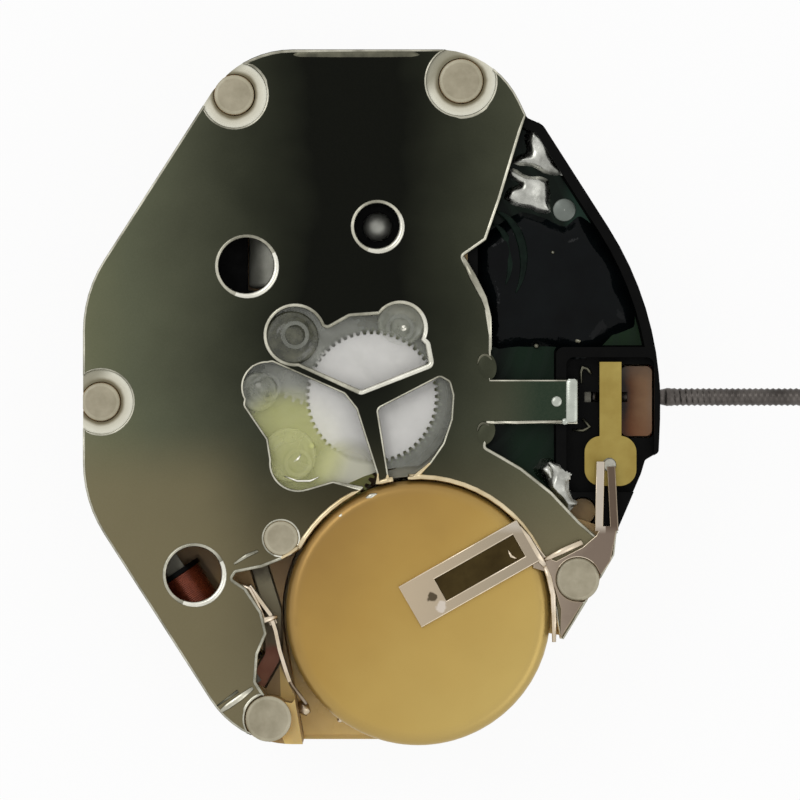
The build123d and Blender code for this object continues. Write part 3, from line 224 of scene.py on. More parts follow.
def steel_plate():
    """Steel plate with a painted reflection: nearly black in the top middle, where the dark above is painted
    as mirrored in it, olive to the left, warmer at the bottom.
    """
    tree = Tree("plate_steel")
    x = tree.axis(tree.mm, "X")
    y = tree.axis(tree.mm, "Y")
    # Painted reflection: the colour runs from nearly black at a spot in the top middle to light olive further
    # from it.
    across = tree.math("ABSOLUTE", tree.math("ADD", x, 0.435))
    down = tree.math("MULTIPLY", tree.math("MAXIMUM", tree.math("SUBTRACT", 2.48, y), 0.0), 0.55)
    far = tree.math("SQRT", tree.math("ADD", tree.math("POWER", across, 2.0), tree.math("POWER", down, 2.0)))
    tone = tree.noise(tree.mm, 0.35, 3)
    far = tree.math("ADD", far, tree.vary(tone, -0.35, 0.35))
    colour = tree.ramp(
        tree.span(far, 0.0, 10.0),
        [
            (0.12, srgb(16, 17, 13)),
            (0.27, srgb(42, 44, 34)),
            (0.42, srgb(65, 67, 53)),
            (0.57, srgb(82, 85, 67)),
            (0.68, srgb(93, 95, 73)),
            (0.96, srgb(122, 120, 98)),
        ],
    )
    warm = tree.span(y, -0.5, -4.5, 0.0, 0.75, True)
    colour = tree.mix(warm, colour, tree.mix(tree.span(far, 3.0, 8.0), srgb(74, 66, 45), srgb(124, 113, 87)))
    low_left = tree.math(
        "MULTIPLY", tree.span(x, -2.6, -4.6, 0.0, 0.7, True), tree.span(y, -0.6, -2.6, 0.0, 1.0, True)
    )
    colour = tree.mix(low_left, colour, srgb(112, 104, 78))
    on_tongue = tree.math("MULTIPLY", tree.span(x, 3.1, 4.4, 0.0, 1.0, True), tree.span(y, -1.1, -0.8))
    on_tongue = tree.math("MULTIPLY", on_tongue, tree.span(y, 0.9, 0.6))
    colour = tree.mix(on_tongue, colour, srgb(40, 52, 40))
    fine = tree.noise(tree.mm, 26, 4, 0.7)
    brush = tree.noise(tree.mapping(tree.mm, scale=(1.2, 9, 1), turn=(0, 0, 0.3)), 6, 3)
    lift = tree.math("MULTIPLY", tree.span(fine, 0.4, 0.68), tree.span(far, 2.0, 8.0, 0.004, 0.06))
    colour = tree.mix(lift, colour, srgb(150, 148, 128))
    spread = tree.noise(tree.mm, 1.2, 4)
    return tree.finish(
        colour, (spread, 0.36, 0.5), tree.bump(tree.math("ADD", fine, brush), 0.1, 0.006),
        {"Metallic": 0.9, "Specular IOR Level": 0.2}
    )


def battery_gold():
    """Golden plate, deeper at the top left, with fine turning rings about the cell's axis."""
    tree = Tree("battery_gold")
    radius = tree.distance(tree.mapping(tree.mm, scale=(1, 1, 0)), (*BATTERY, 0))
    lathe = tree.nodes.new("ShaderNodeTexNoise")
    lathe.noise_dimensions = "1D"
    lathe.inputs["Scale"].default_value = 14
    lathe.inputs["Detail"].default_value = 5
    tree.link(radius, lathe.inputs["W"])
    slope = tree.math("SUBTRACT", tree.axis(tree.mm, "X"), tree.axis(tree.mm, "Y"))
    cloud = tree.noise(tree.mm, 0.5, 3)
    slope = tree.math("ADD", slope, tree.vary(cloud, -0.6, 0.6))
    colour = tree.ramp(
        tree.span(slope, 2.2, 11.2),
        [
            (0.0, srgb(148, 116, 62)), (0.35, srgb(168, 136, 72)), (0.65, srgb(179, 150, 84)),
            (1.0, srgb(187, 161, 94))
        ],
    )
    speck = tree.noise(tree.mm, 40, 2)
    colour = tree.mix(tree.span(speck, 0.64, 0.78, 0.0, 0.18), colour, srgb(120, 96, 52))
    spread = tree.noise(tree.mm, 0.8, 4)
    return tree.finish(
        colour, (spread, 0.3, 0.4), tree.bump(lathe.outputs["Fac"], 0.1, 0.005),
        {"Metallic": tree.span(radius, 3.0, 3.3, 0.9, 0.5)}
    )


def amber(name, low_part):
    """Translucent amber moulding: warm and cloudy; its low part beside the battery is painted bright gold as
    a painted reflection of the battery.
    """
    tree = Tree(name)
    tone = tree.noise(tree.mm, 0.7, 5, 0.6, 0.5)
    colour = tree.ramp(
        tree.vary(tone), [
            (0, srgb(144, 112, 68)), (0.5, srgb(160, 130, 84)), (1, srgb(174, 146, 98))
        ]
    )
    near = tree.distance(tree.mapping(tree.mm, scale=(1, 1, 0)), (-0.3, 0.2, 0))
    milky = tree.math(
        "MULTIPLY", tree.span(near, 3.2, 2.9, 0.0, 0.85), tree.span(tree.axis(tree.mm, "Z"), 1.9, 2.1)
    )
    colour = tree.mix(milky, colour, srgb(142, 144, 132))
    if low_part:
        # Painted reflection: the battery's gold, made bright against the shade of the pocket.
        colour = tree.mix(tree.span(tree.axis(tree.mm, "Y"), -5.6, -6.6), colour, srgb(232, 198, 122))
        rim = tree.math(
            "MULTIPLY", tree.span(tree.axis(tree.mm, "Y"), -7.4, -7.9),
            tree.span(tree.axis(tree.mm, "X"), -2.3, -2.0)
        )
        colour = tree.mix(rim, colour, srgb(206, 176, 112))
    fine = tree.noise(tree.mm, 30, 3)
    return tree.finish(
        colour, (tone, 0.3, 0.45), tree.bump(fine, 0.2, 0.01),
        {
            "Subsurface Weight": 0.2, "Subsurface Radius": (0.0006, 0.0004, 0.0002), "Subsurface Scale": 1.0,
            "Specular IOR Level": 0.35
        }
    )


def clear_moulding(name, low, high, dark, light):
    """Milky clear plastic, clearest over the white wheel and over the green one."""
    tree = Tree(name)
    flat_place = tree.mapping(tree.mm, scale=(1, 1, 0))
    tone = tree.noise(tree.mm, 1.4, 4, 0.6, 0.8)
    over_white = tree.span(tree.distance(flat_place, (0, 0, 0)), 1.6, 1.78, 0.0, 1.0, True)
    over_green = tree.span(tree.distance(flat_place, (-2.05, -1.25, 0)), 1.15, 1.6, 0.6, 1.0, True)
    haze = tree.math("MINIMUM", over_white, over_green)
    haze = tree.math("ADD", haze, tree.vary(tone, -0.1, 0.1))
    wave = tree.noise(tree.mm, 2.6, 3)
    colour = tree.ramp(tree.vary(tone), [(0, dark), (1, light)])
    # Painted light: the haze over the green wheel is painted pale yellow, lighter than the shaded wheel under
    # it.
    yellow = tree.span(tree.distance(flat_place, (-2.15, -1.35, 0)), 1.75, 1.0, 0.0, 0.9, True)
    pale = tree.span(tree.distance(flat_place, (-0.6, -1.95, 0)), 1.0, 0.5, 0.0, 1.0, True)
    colour = tree.mix(pale, colour, srgb(206, 204, 184))
    colour = tree.mix(yellow, colour, srgb(226, 226, 164))
    alpha = tree.math("ADD", tree.span(haze, 0.0, 1.0, low, high), tree.math("MULTIPLY", pale, 0.35))
    return tree.finish(
        colour, (tone, 0.1, 0.22), tree.bump(wave, 0.3, 0.03), {"Alpha": alpha, "Specular IOR Level": 0.3}
    )


def pin_ring():
    """Recess round a pin, all painted light: painted shade beside the pin and at the upper left, a painted
    cream highlight at the lower right.
    """
    tree = Tree("ring_painted_light")
    place = tree.mapping(tree.mm, scale=(1, 1, 0))
    slope = tree.math("SUBTRACT", tree.axis(tree.mm, "X"), tree.axis(tree.mm, "Y"))
    reach, upper_left_shade = None, None
    for x, y, r in PINS[:3]:
        far = tree.math("SUBTRACT", tree.distance(place, (x, y, 0)), r)
        dull = tree.math(
            "MULTIPLY", tree.span(far, 0.45, 0.4), tree.span(slope, x - y - 0.3, x - y - 0.9, 0.0, 0.75, True)
        )
        reach = far if reach is None else tree.math("MINIMUM", reach, far)
        upper_left_shade = dull if upper_left_shade is None else tree.math("ADD", upper_left_shade, dull)
    tone = tree.noise(tree.mm, 1.1, 4)
    reach = tree.math("ADD", reach, tree.vary(tone, -0.03, 0.03))
    # Painted shade next to the pin, turning to a painted cream highlight further out.
    colour = tree.ramp(
        tree.span(reach, 0.0, 0.33),
        [
            (0.0, srgb(92, 84, 62)), (0.2, srgb(118, 110, 88)), (0.42, srgb(196, 192, 174)),
            (1.0, srgb(222, 220, 204))
        ],
    )
    colour = tree.mix(upper_left_shade, colour, srgb(122, 118, 98))
    bump = tree.bump(tree.noise(tree.mm, 14, 3), 0.2, 0.008)
    return tree.finish(colour, (tone, 0.26, 0.4), bump, {"Metallic": 0.8})


def strap_nickel():
    """Brushed strap, pale at its free end and pinkish brown at its root."""
    tree = Tree("nickel")
    x = tree.axis(tree.mm, "X")
    y = tree.axis(tree.mm, "Y")
    tone = tree.noise(tree.mm, 1.3, 4)
    place = tree.math("ADD", x, tree.vary(tone, -0.25, 0.25))
    colour = tree.ramp(
        tree.span(place, 1.0, 5.6),
        [
            (0.0, srgb(180, 164, 140)), (0.55, srgb(158, 146, 126)), (0.76, srgb(150, 136, 120)),
            (1.0, srgb(118, 104, 92))
        ],
    )
    first = tree.math("MULTIPLY", tree.span(x, 5.99, 5.97), tree.span(y, -3.5, -3.3))
    second = tree.math("MULTIPLY", tree.span(x, 5.97, 5.99), tree.span(y, -3.5, -3.3))
    colour = tree.mix(first, colour, srgb(184, 174, 160))
    colour = tree.mix(second, colour, srgb(92, 78, 66))
    flat_place = tree.mapping(tree.mm, scale=(1, 1, 0))
    for spot, size, paint in (
        ((1.78, -5.36, 0), 0.17, srgb(204, 194, 182)), ((1.53, -5.13, 0), 0.15, srgb(62, 52, 34))
    ):
        near = tree.math(
            "ADD", tree.distance(flat_place, spot),
            tree.vary(tree.noise(tree.mm, 5, 3), -0.05, 0.05)
        )
        colour = tree.mix(tree.span(near, size, size * 0.6, 0.0, 0.9, True), colour, paint)
    grain = tree.noise(tree.mapping(tree.mm, scale=(0.3, 1, 1), turn=(0, 0, 0.5)), 9, 3)
    return tree.finish(colour, (tone, 0.3, 0.44), tree.bump(grain, 0.25, 0.008), {"Metallic": 0.92})


def bearing_shaded_amber():
    """Glossy amber moulding painted brown as painted shade, darkest in a painted shadow towards the lever."""
    tree = Tree("bearing_shaded_amber")
    x = tree.axis(tree.mm, "X")
    tone = tree.noise(tree.mm, 1.6, 4)
    place = tree.math("ADD", x, tree.vary(tone, -0.08, 0.08))
    colour = tree.ramp(
        tree.span(place, 6.4, 7.2), [
            (0.06, srgb(26, 12, 4)), (0.3, srgb(88, 54, 28)), (0.8, srgb(140, 106, 76)),
            (1.0, srgb(148, 118, 92))
        ]
    )
    # Painted shading of a rounded block: orange-brown on the lower side, greyer on the upper side.
    low = tree.span(tree.axis(tree.mm, "Y"), -0.2, -0.95, 0.0, 0.35, True)
    colour = tree.mix(low, colour, srgb(120, 66, 30))
    high = tree.span(tree.axis(tree.mm, "Y"), 0.3, 0.75, 0.0, 0.35, True)
    colour = tree.mix(high, colour, srgb(104, 94, 82))
    bump = tree.bump(tree.noise(tree.mm, 20, 3), 0.2, 0.008)
    return tree.finish(colour, (tone, 0.16, 0.3), bump, {"Specular IOR Level": 0.2})


def board():
    """Dark solder mask, greener in the open strips, with faint tracks."""
    tree = Tree("board_green")
    x = tree.axis(tree.mm, "X")
    y = tree.axis(tree.mm, "Y")
    tone = tree.noise(tree.mm, 1.3, 4)
    colour = tree.ramp(tree.vary(tone), [(0, srgb(6, 11, 8)), (1, srgb(14, 24, 16))])
    strip = tree.math("MULTIPLY", tree.span(x, 5.7, 5.9), tree.span(y, 2.3, 2.0))
    colour = tree.mix(tree.math("MULTIPLY", strip, 0.85), colour, srgb(26, 46, 26))
    sliver = tree.math("MULTIPLY", tree.span(x, 4.9, 5.2), tree.span(y, 3.9, 4.2))
    colour = tree.mix(tree.math("MULTIPLY", sliver, 0.9), colour, srgb(36, 58, 48))
    under = tree.math("MULTIPLY", tree.span(x, 3.2, 3.8), tree.span(x, 5.0, 4.8))
    under = tree.math("MULTIPLY", under, tree.span(y, 1.7, 1.4, 0.0, 0.8))
    colour = tree.mix(under, colour, srgb(18, 38, 24))
    rings = tree.distance(tree.mapping(tree.mm, scale=(1, 0.7, 0)), (1.6, 1.7, 0))
    track = tree.math("SINE", tree.math("MULTIPLY", rings, 15.0))
    colour = tree.mix(tree.span(track, 0.35, 0.7, 0.0, 0.3), colour, srgb(26, 38, 30))
    return tree.finish(colour, (tone, 0.2, 0.35), tree.bump(track, 0.25, 0.015), {"Specular IOR Level": 0.08})


def crescent():
    """Plate seen beside the battery: olive above, reddish brown towards the coil's end."""
    tree = Tree("crescent_brown")
    tone = tree.noise(tree.mm, 1.6, 4)
    place = tree.math("ADD", tree.axis(tree.mm, "Y"), tree.vary(tone, -0.3, 0.3))
    colour = tree.ramp(
        tree.span(place, -7.4, -4.4),
        [
            (0.0, srgb(150, 96, 66)), (0.28, srgb(136, 78, 54)), (0.4, srgb(128, 112, 84)),
            (0.8, srgb(146, 138, 110)), (1.0, srgb(82, 74, 54))
        ],
    )
    bump = tree.bump(tree.noise(tree.mm, 14, 3), 0.25, 0.01)
    return tree.finish(colour, (tone, 0.34, 0.46), bump, {"Metallic": 0.3})


# Name, dark and light colour, roughness, metal, sizes of the mottling and the grain, depth of the bump
PLAIN_FINISHES = [
    ("boss_dark", (52, 54, 42), (104, 104, 86), (0.12, 0.26), 0.0, 3.2, 8, 0.03),
    ("stem_steel", (64, 60, 57), (98, 93, 89), (0.3, 0.46), 0.9, 2.0, 12, 0.006),
    # rim_bright is a lit copy of the plate's steel for painted highlights; rim_dull is a duller copy for a
    # painted shadow, faint painted highlights and a glint, and small dull metal ends.
    ("rim_bright", (112, 110, 96), (206, 203, 186), (0.22, 0.36), 1.0, 1.1, 18, 0.006),
    ("rim_dull", (70, 70, 60), (112, 110, 94), (0.3, 0.42), 1.0, 1.6, 18, 0.006),
    ("pin_cream", (148, 139, 114), (184, 175, 150), (0.3, 0.42), 0.0, 1.5, 12, 0.012),
    ("pin_rim", (160, 152, 126), (196, 188, 162), (0.22, 0.34), 0.0, 1.5, 12, 0.01),
    # tab_bright is a lit copy of the plate's steel, a painted highlight on the bent tab.
    ("tab_bright", (164, 168, 158), (192, 196, 186), (0.22, 0.32), 0.9, 1.4, 18, 0.006),
    ("black_plastic", (3, 3, 3), (9, 9, 8), (0.3, 0.45), 0.0, 1.4, 34, 0.01),
    ("gloss_black", (3, 4, 5), (10, 14, 15), (0.06, 0.18), 0.0, 0.8, 2.6, 0.05),
    ("solder", (120, 120, 114), (208, 208, 200), (0.2, 0.34), 1.0, 1.6, 4, 0.04),
    ("dot_grey", (102, 108, 102), (116, 122, 115), (0.35, 0.45), 0.4, 2.2, 20, 0.006),
    ("grey_can", (116, 116, 106), (146, 146, 136), (0.42, 0.55), 0.5, 1.6, 30, 0.008),
    ("dull_steel", (88, 86, 78), (118, 116, 106), (0.38, 0.52), 0.9, 2.0, 24, 0.01),
    ("copper_wire", (88, 36, 22), (138, 66, 40), (0.24, 0.36), 0.5, 2.4, 20, 0.006),
    ("white_plastic", (232, 230, 226), (244, 242, 238), (0.38, 0.5), 0.0, 1.5, 30, 0.006),
    ("lime_plastic", (226, 230, 132), (242, 244, 172), (0.34, 0.48), 0.0, 1.5, 30, 0.006),
    ("bright_steel", (136, 134, 124), (176, 174, 162), (0.22, 0.34), 1.0, 2.2, 34, 0.006),
    ("magnet_grey", (52, 52, 50), (74, 74, 72), (0.42, 0.55), 0.7, 2.0, 30, 0.01),
    ("brass", (142, 122, 62), (162, 144, 80), (0.28, 0.4), 0.95, 1.0, 9, 0.008),
    ("gasket_green", (66, 74, 62), (90, 98, 84), (0.4, 0.5), 0.0, 2.0, 30, 0.006),
    # amber_film is painted pale gold as a painted reflection of the battery, made bright against the shade of
    # its pocket.
    ("amber_film", (226, 190, 112), (242, 210, 134), (0.18, 0.3), 0.0, 0.9, 12, 0.01),
    # nickel_edge is a lighter copy of the nickel for painted highlights on edges.
    ("nickel_edge", (184, 168, 140), (222, 208, 188), (0.22, 0.34), 1.0, 1.4, 14, 0.006),
    ("nickel_dull", (124, 110, 94), (168, 152, 130), (0.3, 0.42), 1.0, 1.4, 14, 0.006),
    # rim_cream and rim_white are lit copies of the plate's steel for painted highlights and glints.
    ("rim_cream", (176, 156, 116), (222, 206, 172), (0.24, 0.36), 1.0, 1.0, 14, 0.006),
    ("rim_white", (188, 186, 172), (236, 234, 222), (0.2, 0.32), 1.0, 0.8, 14, 0.006),
    ("stud_steel", (130, 130, 124), (176, 176, 168), (0.45, 0.6), 0.8, 1.2, 14, 0.006),
    ("green_arc", (6, 12, 9), (20, 34, 26), (0.3, 0.42), 0.0, 2.2, 14, 0.01),
    # The next finish is painted shade for the floor of the strap's slot.
    ("slot_dark", (50, 40, 22), (72, 60, 34), (0.3, 0.42), 0.9, 1.0, 18, 0.008),
]
# What some of them have beside that
EXTRAS = {
    "boss_dark": {"strength": 0.5, "more": {"Alpha": 0.85}},
    "black_plastic": {"more": {"Specular IOR Level": 0.05}},
    "gloss_black": {"strength": 0.4, "more": {"Specular IOR Level": 0.08}},
    "brass": {"stretch": (1, 0.15, 1)},
    "green_arc": {"more": {"Specular IOR Level": 0.06}},
    "slot_dark": {"more": {"Specular IOR Level": 0.05}},
}
MATERIALS = {
    "plate_steel": steel_plate(),
    "battery_gold": battery_gold(),
    "amber_plastic": amber("amber_plastic", False),
    "amber_floor": amber("amber_floor", True),
    "clear_plastic": clear_moulding("clear_plastic", 0.05, 0.5, srgb(138, 140, 130), srgb(168, 170, 160)),
    "boss_milky": clear_moulding("boss_milky", 0.14, 0.5, srgb(150, 152, 136), srgb(194, 196, 182)),
    "board_green": board(),
    "bearing_shaded_amber": bearing_shaded_amber(),
    "ring_painted_light": pin_ring(),
    "nickel": strap_nickel(),
    "crescent_brown": crescent(),
}
for name, dark, light, *rest in PLAIN_FINISHES:
    MATERIALS[name] = surface(name, srgb(*dark), srgb(*light), *rest, **EXTRAS.get(name, {}))


def dress(name, slot):
    """Material on a CAD node."""
    thing = nodes[name]
    thing.data.materials.clear()
    thing.data.materials.append(MATERIALS[slot])
    return thing


for subpart in frame["record"]["subparts"]:
    dress(subpart["node"], subpart["material_slot"])


def repaint(name, material, test):
    """A second material on those faces of a CAD node whose middle, in millimetres, passes the test."""
    mesh = nodes[name].data
    mesh.materials.append(MATERIALS[material])
    index = len(mesh.materials) - 1
    for face in mesh.polygons:
        centre = face.center / MM
        if test(centre, face.normal):
            face.material_index = index


def within(centre, circle, extra=0.0):
    return math.hypot(centre.x - circle[0], centre.y - circle[1]) < circle[2] + extra


# Painted shade: the amber main plate's faces deep in the sight holes are painted black.
repaint(
    "main_plate",
    "black_plastic",
    lambda c, n: c.z < 2.74 and c.z > 1.2 and any(within(c, hole, 0.02) for hole in SIGHT_HOLES),
)
# Painted shade and highlight on the floors of the recesses round the upper three pins.
repaint(
    "back_plate",
    "ring_painted_light",
    lambda c, n: n.z > 0.9 and 2.8 < c.z < 2.9 and any(within(c, pin, RECESS + 0.02) for pin in PINS[:3]),
)

# Painted shade: the top of the stem's bearing block gets amber painted brown.
repaint(
    "main_plate", "bearing_shaded_amber", lambda c, n: 2.0 < c.z < 2.4 and 6.38 < c.x < 7.2 and -1.01 < c.y < 0.8
)
# Upward faces low in the plate get the moulding with the battery's painted golden reflection.
repaint("main_plate", "amber_floor", lambda c, n: n.z > 0.9 and (c.z < 1.2 or c.y < -7.4 and c.x > -2.3))
# Painted shade: the floor of the strap's slot is painted dark where the slot looks into shade.
repaint("contact_strap", "slot_dark", lambda c, n: n.z > 0.9 and 3.075 < c.z < 3.09)
# Painted highlight: the side contact's upward faces get the lighter nickel.
repaint("side_contact", "nickel_edge", lambda c, n: n.z > 0.5)
repaint("stator", "crescent_brown", lambda c, n: n.z > 0.9 and c.y < -3.5)
dress("plate_stud", "stud_steel")


# Geometry helpers, in millimetres
def piece(name, verts, faces, face_slots, materials, body, stands_for):
    """Mesh object from millimetre points, on a body, with its finish and the nodes that it stands for."""
    # Points that would stand outside the CAD's box are pressed back onto it
    mesh = bpy.data.meshes.new(name)
    low, high = cad_box
    mesh.from_pydata(
        [tuple(min(max(c * MM, a), b) for c, a, b in zip(v, low, high)) for v in verts], [], faces
    )
    for material in materials:
        mesh.materials.append(MATERIALS[material])
    for face, face_slot in zip(mesh.polygons, face_slots):
        face.use_smooth = True
        face.material_index = face_slot
    mesh.validate()
    thing = bpy.data.objects.new(name, mesh)
    bpy.context.scene.collection.objects.link(thing)
    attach(thing, body)
    if stands_for:
        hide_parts(*stands_for)
    return thing


def px(x, y, z=0):
    """Point under a pixel of the camera's view, at a height."""
    return ((x - AXIS_PIXEL[0]) * PIXEL, (AXIS_PIXEL[1] - y) * PIXEL, z)


class Shape:
    """Points and faces gathered for one piece."""

    def __init__(self):
        self.verts = []
        self.faces = []
        self.slots = []

    def grid(self, rows, closed_ring=True, slot=0, cap_start=False, cap_end=False):
        """Skin over rows of points; each row has the same count."""
        start = len(self.verts)
        count = len(rows[0])
        for row in rows:
            self.verts.extend(row)
        wide = count if closed_ring else count - 1
        for i in range(len(rows) - 1):
            for j in range(wide):
                a = start + i * count + j
                b = start + i * count + (j + 1) % count
                self.faces.append((a, b, b + count, a + count))
                self.slots.append(slot)
        if cap_start:
            self.faces.append(tuple(start + j for j in reversed(range(count))))
            self.slots.append(slot)
        if cap_end:
            end = start + (len(rows) - 1) * count
            self.faces.append(tuple(end + j for j in range(count)))
            self.slots.append(slot)

    def lathe(self, centre, profile, around=40, slots=None):
        """Profile of radius and height turned about a vertical axis."""
        rows = []
        for radius, z in profile:
            row = []
            for step in range(around):
                turn = 2 * math.pi * step / around
                row.append((centre[0] + radius * math.cos(turn), centre[1] + radius * math.sin(turn), z))
            rows.append(row)
        first = len(self.faces)
        self.grid(rows, cap_end=profile[-1][0] > 0)
        if slots:
            for band, slot in enumerate(slots):
                for item in range(first + band * around, first + (band + 1) * around):
                    self.slots[item] = slot

    def bead(self, points, sizes, closed=False, slot=0, flat=1.0):
        """Round bead along a line of points, with its own half-width at each point."""
        clean = []
        for point, size in zip(points, sizes):
            if not clean or math.dist(clean[-1][0], point) > 0.02:
                clean.append((point, size))
        if closed and math.dist(clean[0][0], clean[-1][0]) < 0.02:
            clean.pop()
        count = len(clean)
        rows = []
        for item, (point, size) in enumerate(clean):
            before = clean[item - 1][0] if closed or item else point
            after = clean[(item + 1) % count][0] if closed or item < count - 1 else point
            way = Vector(after) - Vector(before)
            way.z = 0
            if way.length < 1e-6:
                way = Vector((1, 0, 0))
            way.normalize()
            side = Vector((-way.y, way.x, 0))
            row = []
            for step in range(BEAD_SIDES):
                turn = 2 * math.pi * step / BEAD_SIDES
                out = Vector(point) + side * (size * math.cos(turn))
                out.z += size * flat * math.sin(turn)
                row.append(tuple(out))
            rows.append(row)
        if closed:
            rows.append(rows[0])
        self.grid(rows, slot=slot, cap_start=not closed, cap_end=not closed)

    def stroke(self, line, slot=0, flat=1.0):
        """Bead along a line of pixels, each with its height and its half-width."""
        self.bead([px(*point[:3]) for point in line], [point[3] for point in line], slot=slot, flat=flat)

    def make(self, name, materials, body, stands_for=()):
        return piece(name, self.verts, self.faces, self.slots, materials, body, stands_for)


def edge_loops(name, level):
    """Closed lines in millimetres round the flat faces of a node at a height."""
    work = bmesh.new()
    work.from_mesh(nodes[name].data)
    bmesh.ops.remove_doubles(work, verts=work.verts, dist=1e-7)
    flat = set()
    for face in work.faces:
        if face.normal.z > 0.99 and abs(face.calc_center_median().z / MM - level) < 0.004:
            flat.add(face)
    links = {}
    for edge in work.edges:
        if sum(1 for face in edge.link_faces if face in flat) == 1:
            for vert in edge.verts:
                links.setdefault(vert, []).append(edge)
    loops = []
    used = set()
    for start in list(links):
        for first in links[start]:
            if first in used:
                continue
            line = [start]
            edge, vert = first, start
            while edge not in used:
                used.add(edge)
                vert = edge.other_vert(vert)
                line.append(vert)
                ahead = [e for e in links[vert] if e not in used]
                if not ahead:
                    break
                edge = ahead[0]
            loops.append([(v.co.x / MM, v.co.y / MM) for v in line])
    work.free()
    return loops


def inside(point, polygon):
    """Distance to a polygon's sides, positive inside it."""
    x, y = point
    best = 1e9
    hit = False
    for a, b in zip(polygon, polygon[1:] + polygon[:1]):
        if (a[1] > y) != (b[1] > y) and x < (b[0] - a[0]) * (y - a[1]) / (b[1] - a[1]) + a[0]:
            hit = not hit
        dx, dy = b[0] - a[0], b[1] - a[1]
        t = max(0, min(1, ((x - a[0]) * dx + (y - a[1]) * dy) / max(dx * dx + dy * dy, 1e-12)))
        best = min(best, math.hypot(x - a[0] - t * dx, y - a[1] - t * dy))
    return best if hit else -best


def drawn_in(loop, sizes):
    """Closed line moved inwards by a distance of its own at each point."""
    points = loop[:-1]
    area = sum(a[0] * b[1] - b[0] * a[1] for a, b in zip(points, points[1:] + points[:1]))
    sign = 1 if area > 0 else -1
    moved = []
    for item, ((x, y), size) in enumerate(zip(points, sizes)):
        before = points[item - 1]
        after = points[(item + 1) % len(points)]
        dx, dy = after[0] - before[0], after[1] - before[1]
        reach = max(math.hypot(dx, dy), 1e-9)
        moved.append((x - sign * dy / reach * size, y + sign * dx / reach * size))
    return moved + moved[:1]


# Rims round the stamped openings of the back plate, beads in lit copies of its steel as painted highlights,
# brighter where they face the lower right
rims = Shape()
plate_loops = edge_loops("back_plate", PLATE_TOP)
outline = max(plate_loops, key=len)
for loop in plate_loops:
    if max(p[1] for p in loop) - min(p[1] for p in loop) > OUTLINE_REACH:
        outline = loop
for loop in plate_loops:
    xs = [p[0] for p in loop]
    ys = [p[1] for p in loop]
    middle = ((min(xs) + max(xs)) / 2, (min(ys) + max(ys)) / 2)
    reach = max(max(xs) - min(xs), max(ys) - min(ys))
    sizes = []
    for x, y in loop:
        if reach > OUTLINE_REACH:
            near_battery = abs(math.hypot(x - BATTERY[0], y - BATTERY[1]) - BATTERY_RADIUS) < 0.2
            tongue = 3.0 < x and -0.75 < y < 0.55
            inner = x > 2.2 and math.hypot(x / 7.4, y / 8.9) < 0.93 and y > -4.2
            crescent = x < -0.8 and -8 < y < -3.7 and x > -3.8
            upper_left = -3.1 < x < -1.8 and y > 8
            if near_battery:
                sizes.append(CAN_RIM)
            elif tongue:
                sizes.append(TONGUE_RIM)
            else:
                sizes.append(WIDE_RIM if inner or crescent or upper_left else PLAIN_RIM)
        elif any(math.dist(middle, pin[:2]) < 0.3 for pin in PINS):
            sizes.append(0.05 if reach > 1.3 else 0.03)
        else:
            toward = (x - middle[0]) - (y - middle[1])
            sizes.append(0.05 + 0.035 * max(0, min(1, toward / reach * 1.6)))
    closed = math.dist(loop[0], loop[-1]) < 1e-6
    first = len(rims.faces)
    line = []
    path = drawn_in(loop, sizes) if loop is outline else loop
    for (x, y), size in zip(path, sizes):
        from_can = math.hypot(x - BATTERY[0], y - BATTERY[1])
        if size == CAN_RIM:
            share = (BATTERY_RADIUS + 0.015 + size) / from_can
            x, y = BATTERY[0] + (x - BATTERY[0]) * share, BATTERY[1] + (y - BATTERY[1]) * share
        line.append((x, y, PLATE_TOP - 0.4 * size))
    rims.bead(line, sizes, closed)
    for item in range(first, len(rims.faces)):
        x, y, z = rims.verts[rims.faces[item][0]]
        # Painted highlight colours: cream on the outline beside the battery, white on the sides of openings
        # that face the lower right.
        if reach > OUTLINE_REACH:
            cream = abs(math.hypot(x - BATTERY[0], y - BATTERY[1]) - BATTERY_RADIUS) < 0.3
            rims.slots[item] = 1 if cream else 0
        else:
            rims.slots[item] = 2 if (x - middle[0]) - (y - middle[1]) > 0.25 * reach else 0
rims.make("plate_rims", ["rim_bright", "rim_cream", "rim_white"], "movement")

# Stamped and bent details on the plate, with painted light: painted highlights along folds and edges, a
# painted shadow by the corner fold, painted glints on the battery's edge, painted highlight arcs on the curls
# and painted crescents of light in the pin recesses
CORNER_FOLD = [
    (220, 712, 2.955, 0.045), (228, 706, 2.96, 0.085), (241, 697, 2.965, 0.085), (253, 688, 2.955, 0.05)
]
CORNER_SHADE = [(217, 706, 2.95, 0.02), (238, 691, 2.955, 0.045)]
CRESCENT_LIP = [(234, 564, 2.95, 0.035), (246, 556, 2.96, 0.055), (258, 551, 2.95, 0.04)]
CHIP_EDGE = [
    (463, 257, 2.955, 0.05), (473, 277, 2.965, 0.1), (484, 298, 2.96, 0.085), (490, 318, 2.955, 0.045),
    (491, 350, 2.95, 0.03)
]
TONGUE_EDGE = [(494, 422, 2.95, 0.03), (515, 422.5, 2.955, 0.045), (562, 421.5, 2.96, 0.045)]
TOP_EDGE = [
    (291, 55, 2.935, 0.02), (300, 54, 2.935, 0.09), (340, 54, 2.935, 0.1), (380, 54, 2.935, 0.1),
    (412, 54, 2.935, 0.09), (422, 55, 2.935, 0.02)
]
RIGHT_GLINT = [(366, 498, 2.96, 0.03), (371, 496, 2.96, 0.07), (377, 494, 2.96, 0.03)]
LEFT_GLINT = [(337, 519, 2.96, 0.03), (341, 516, 2.96, 0.06), (345, 513, 2.96, 0.03)]
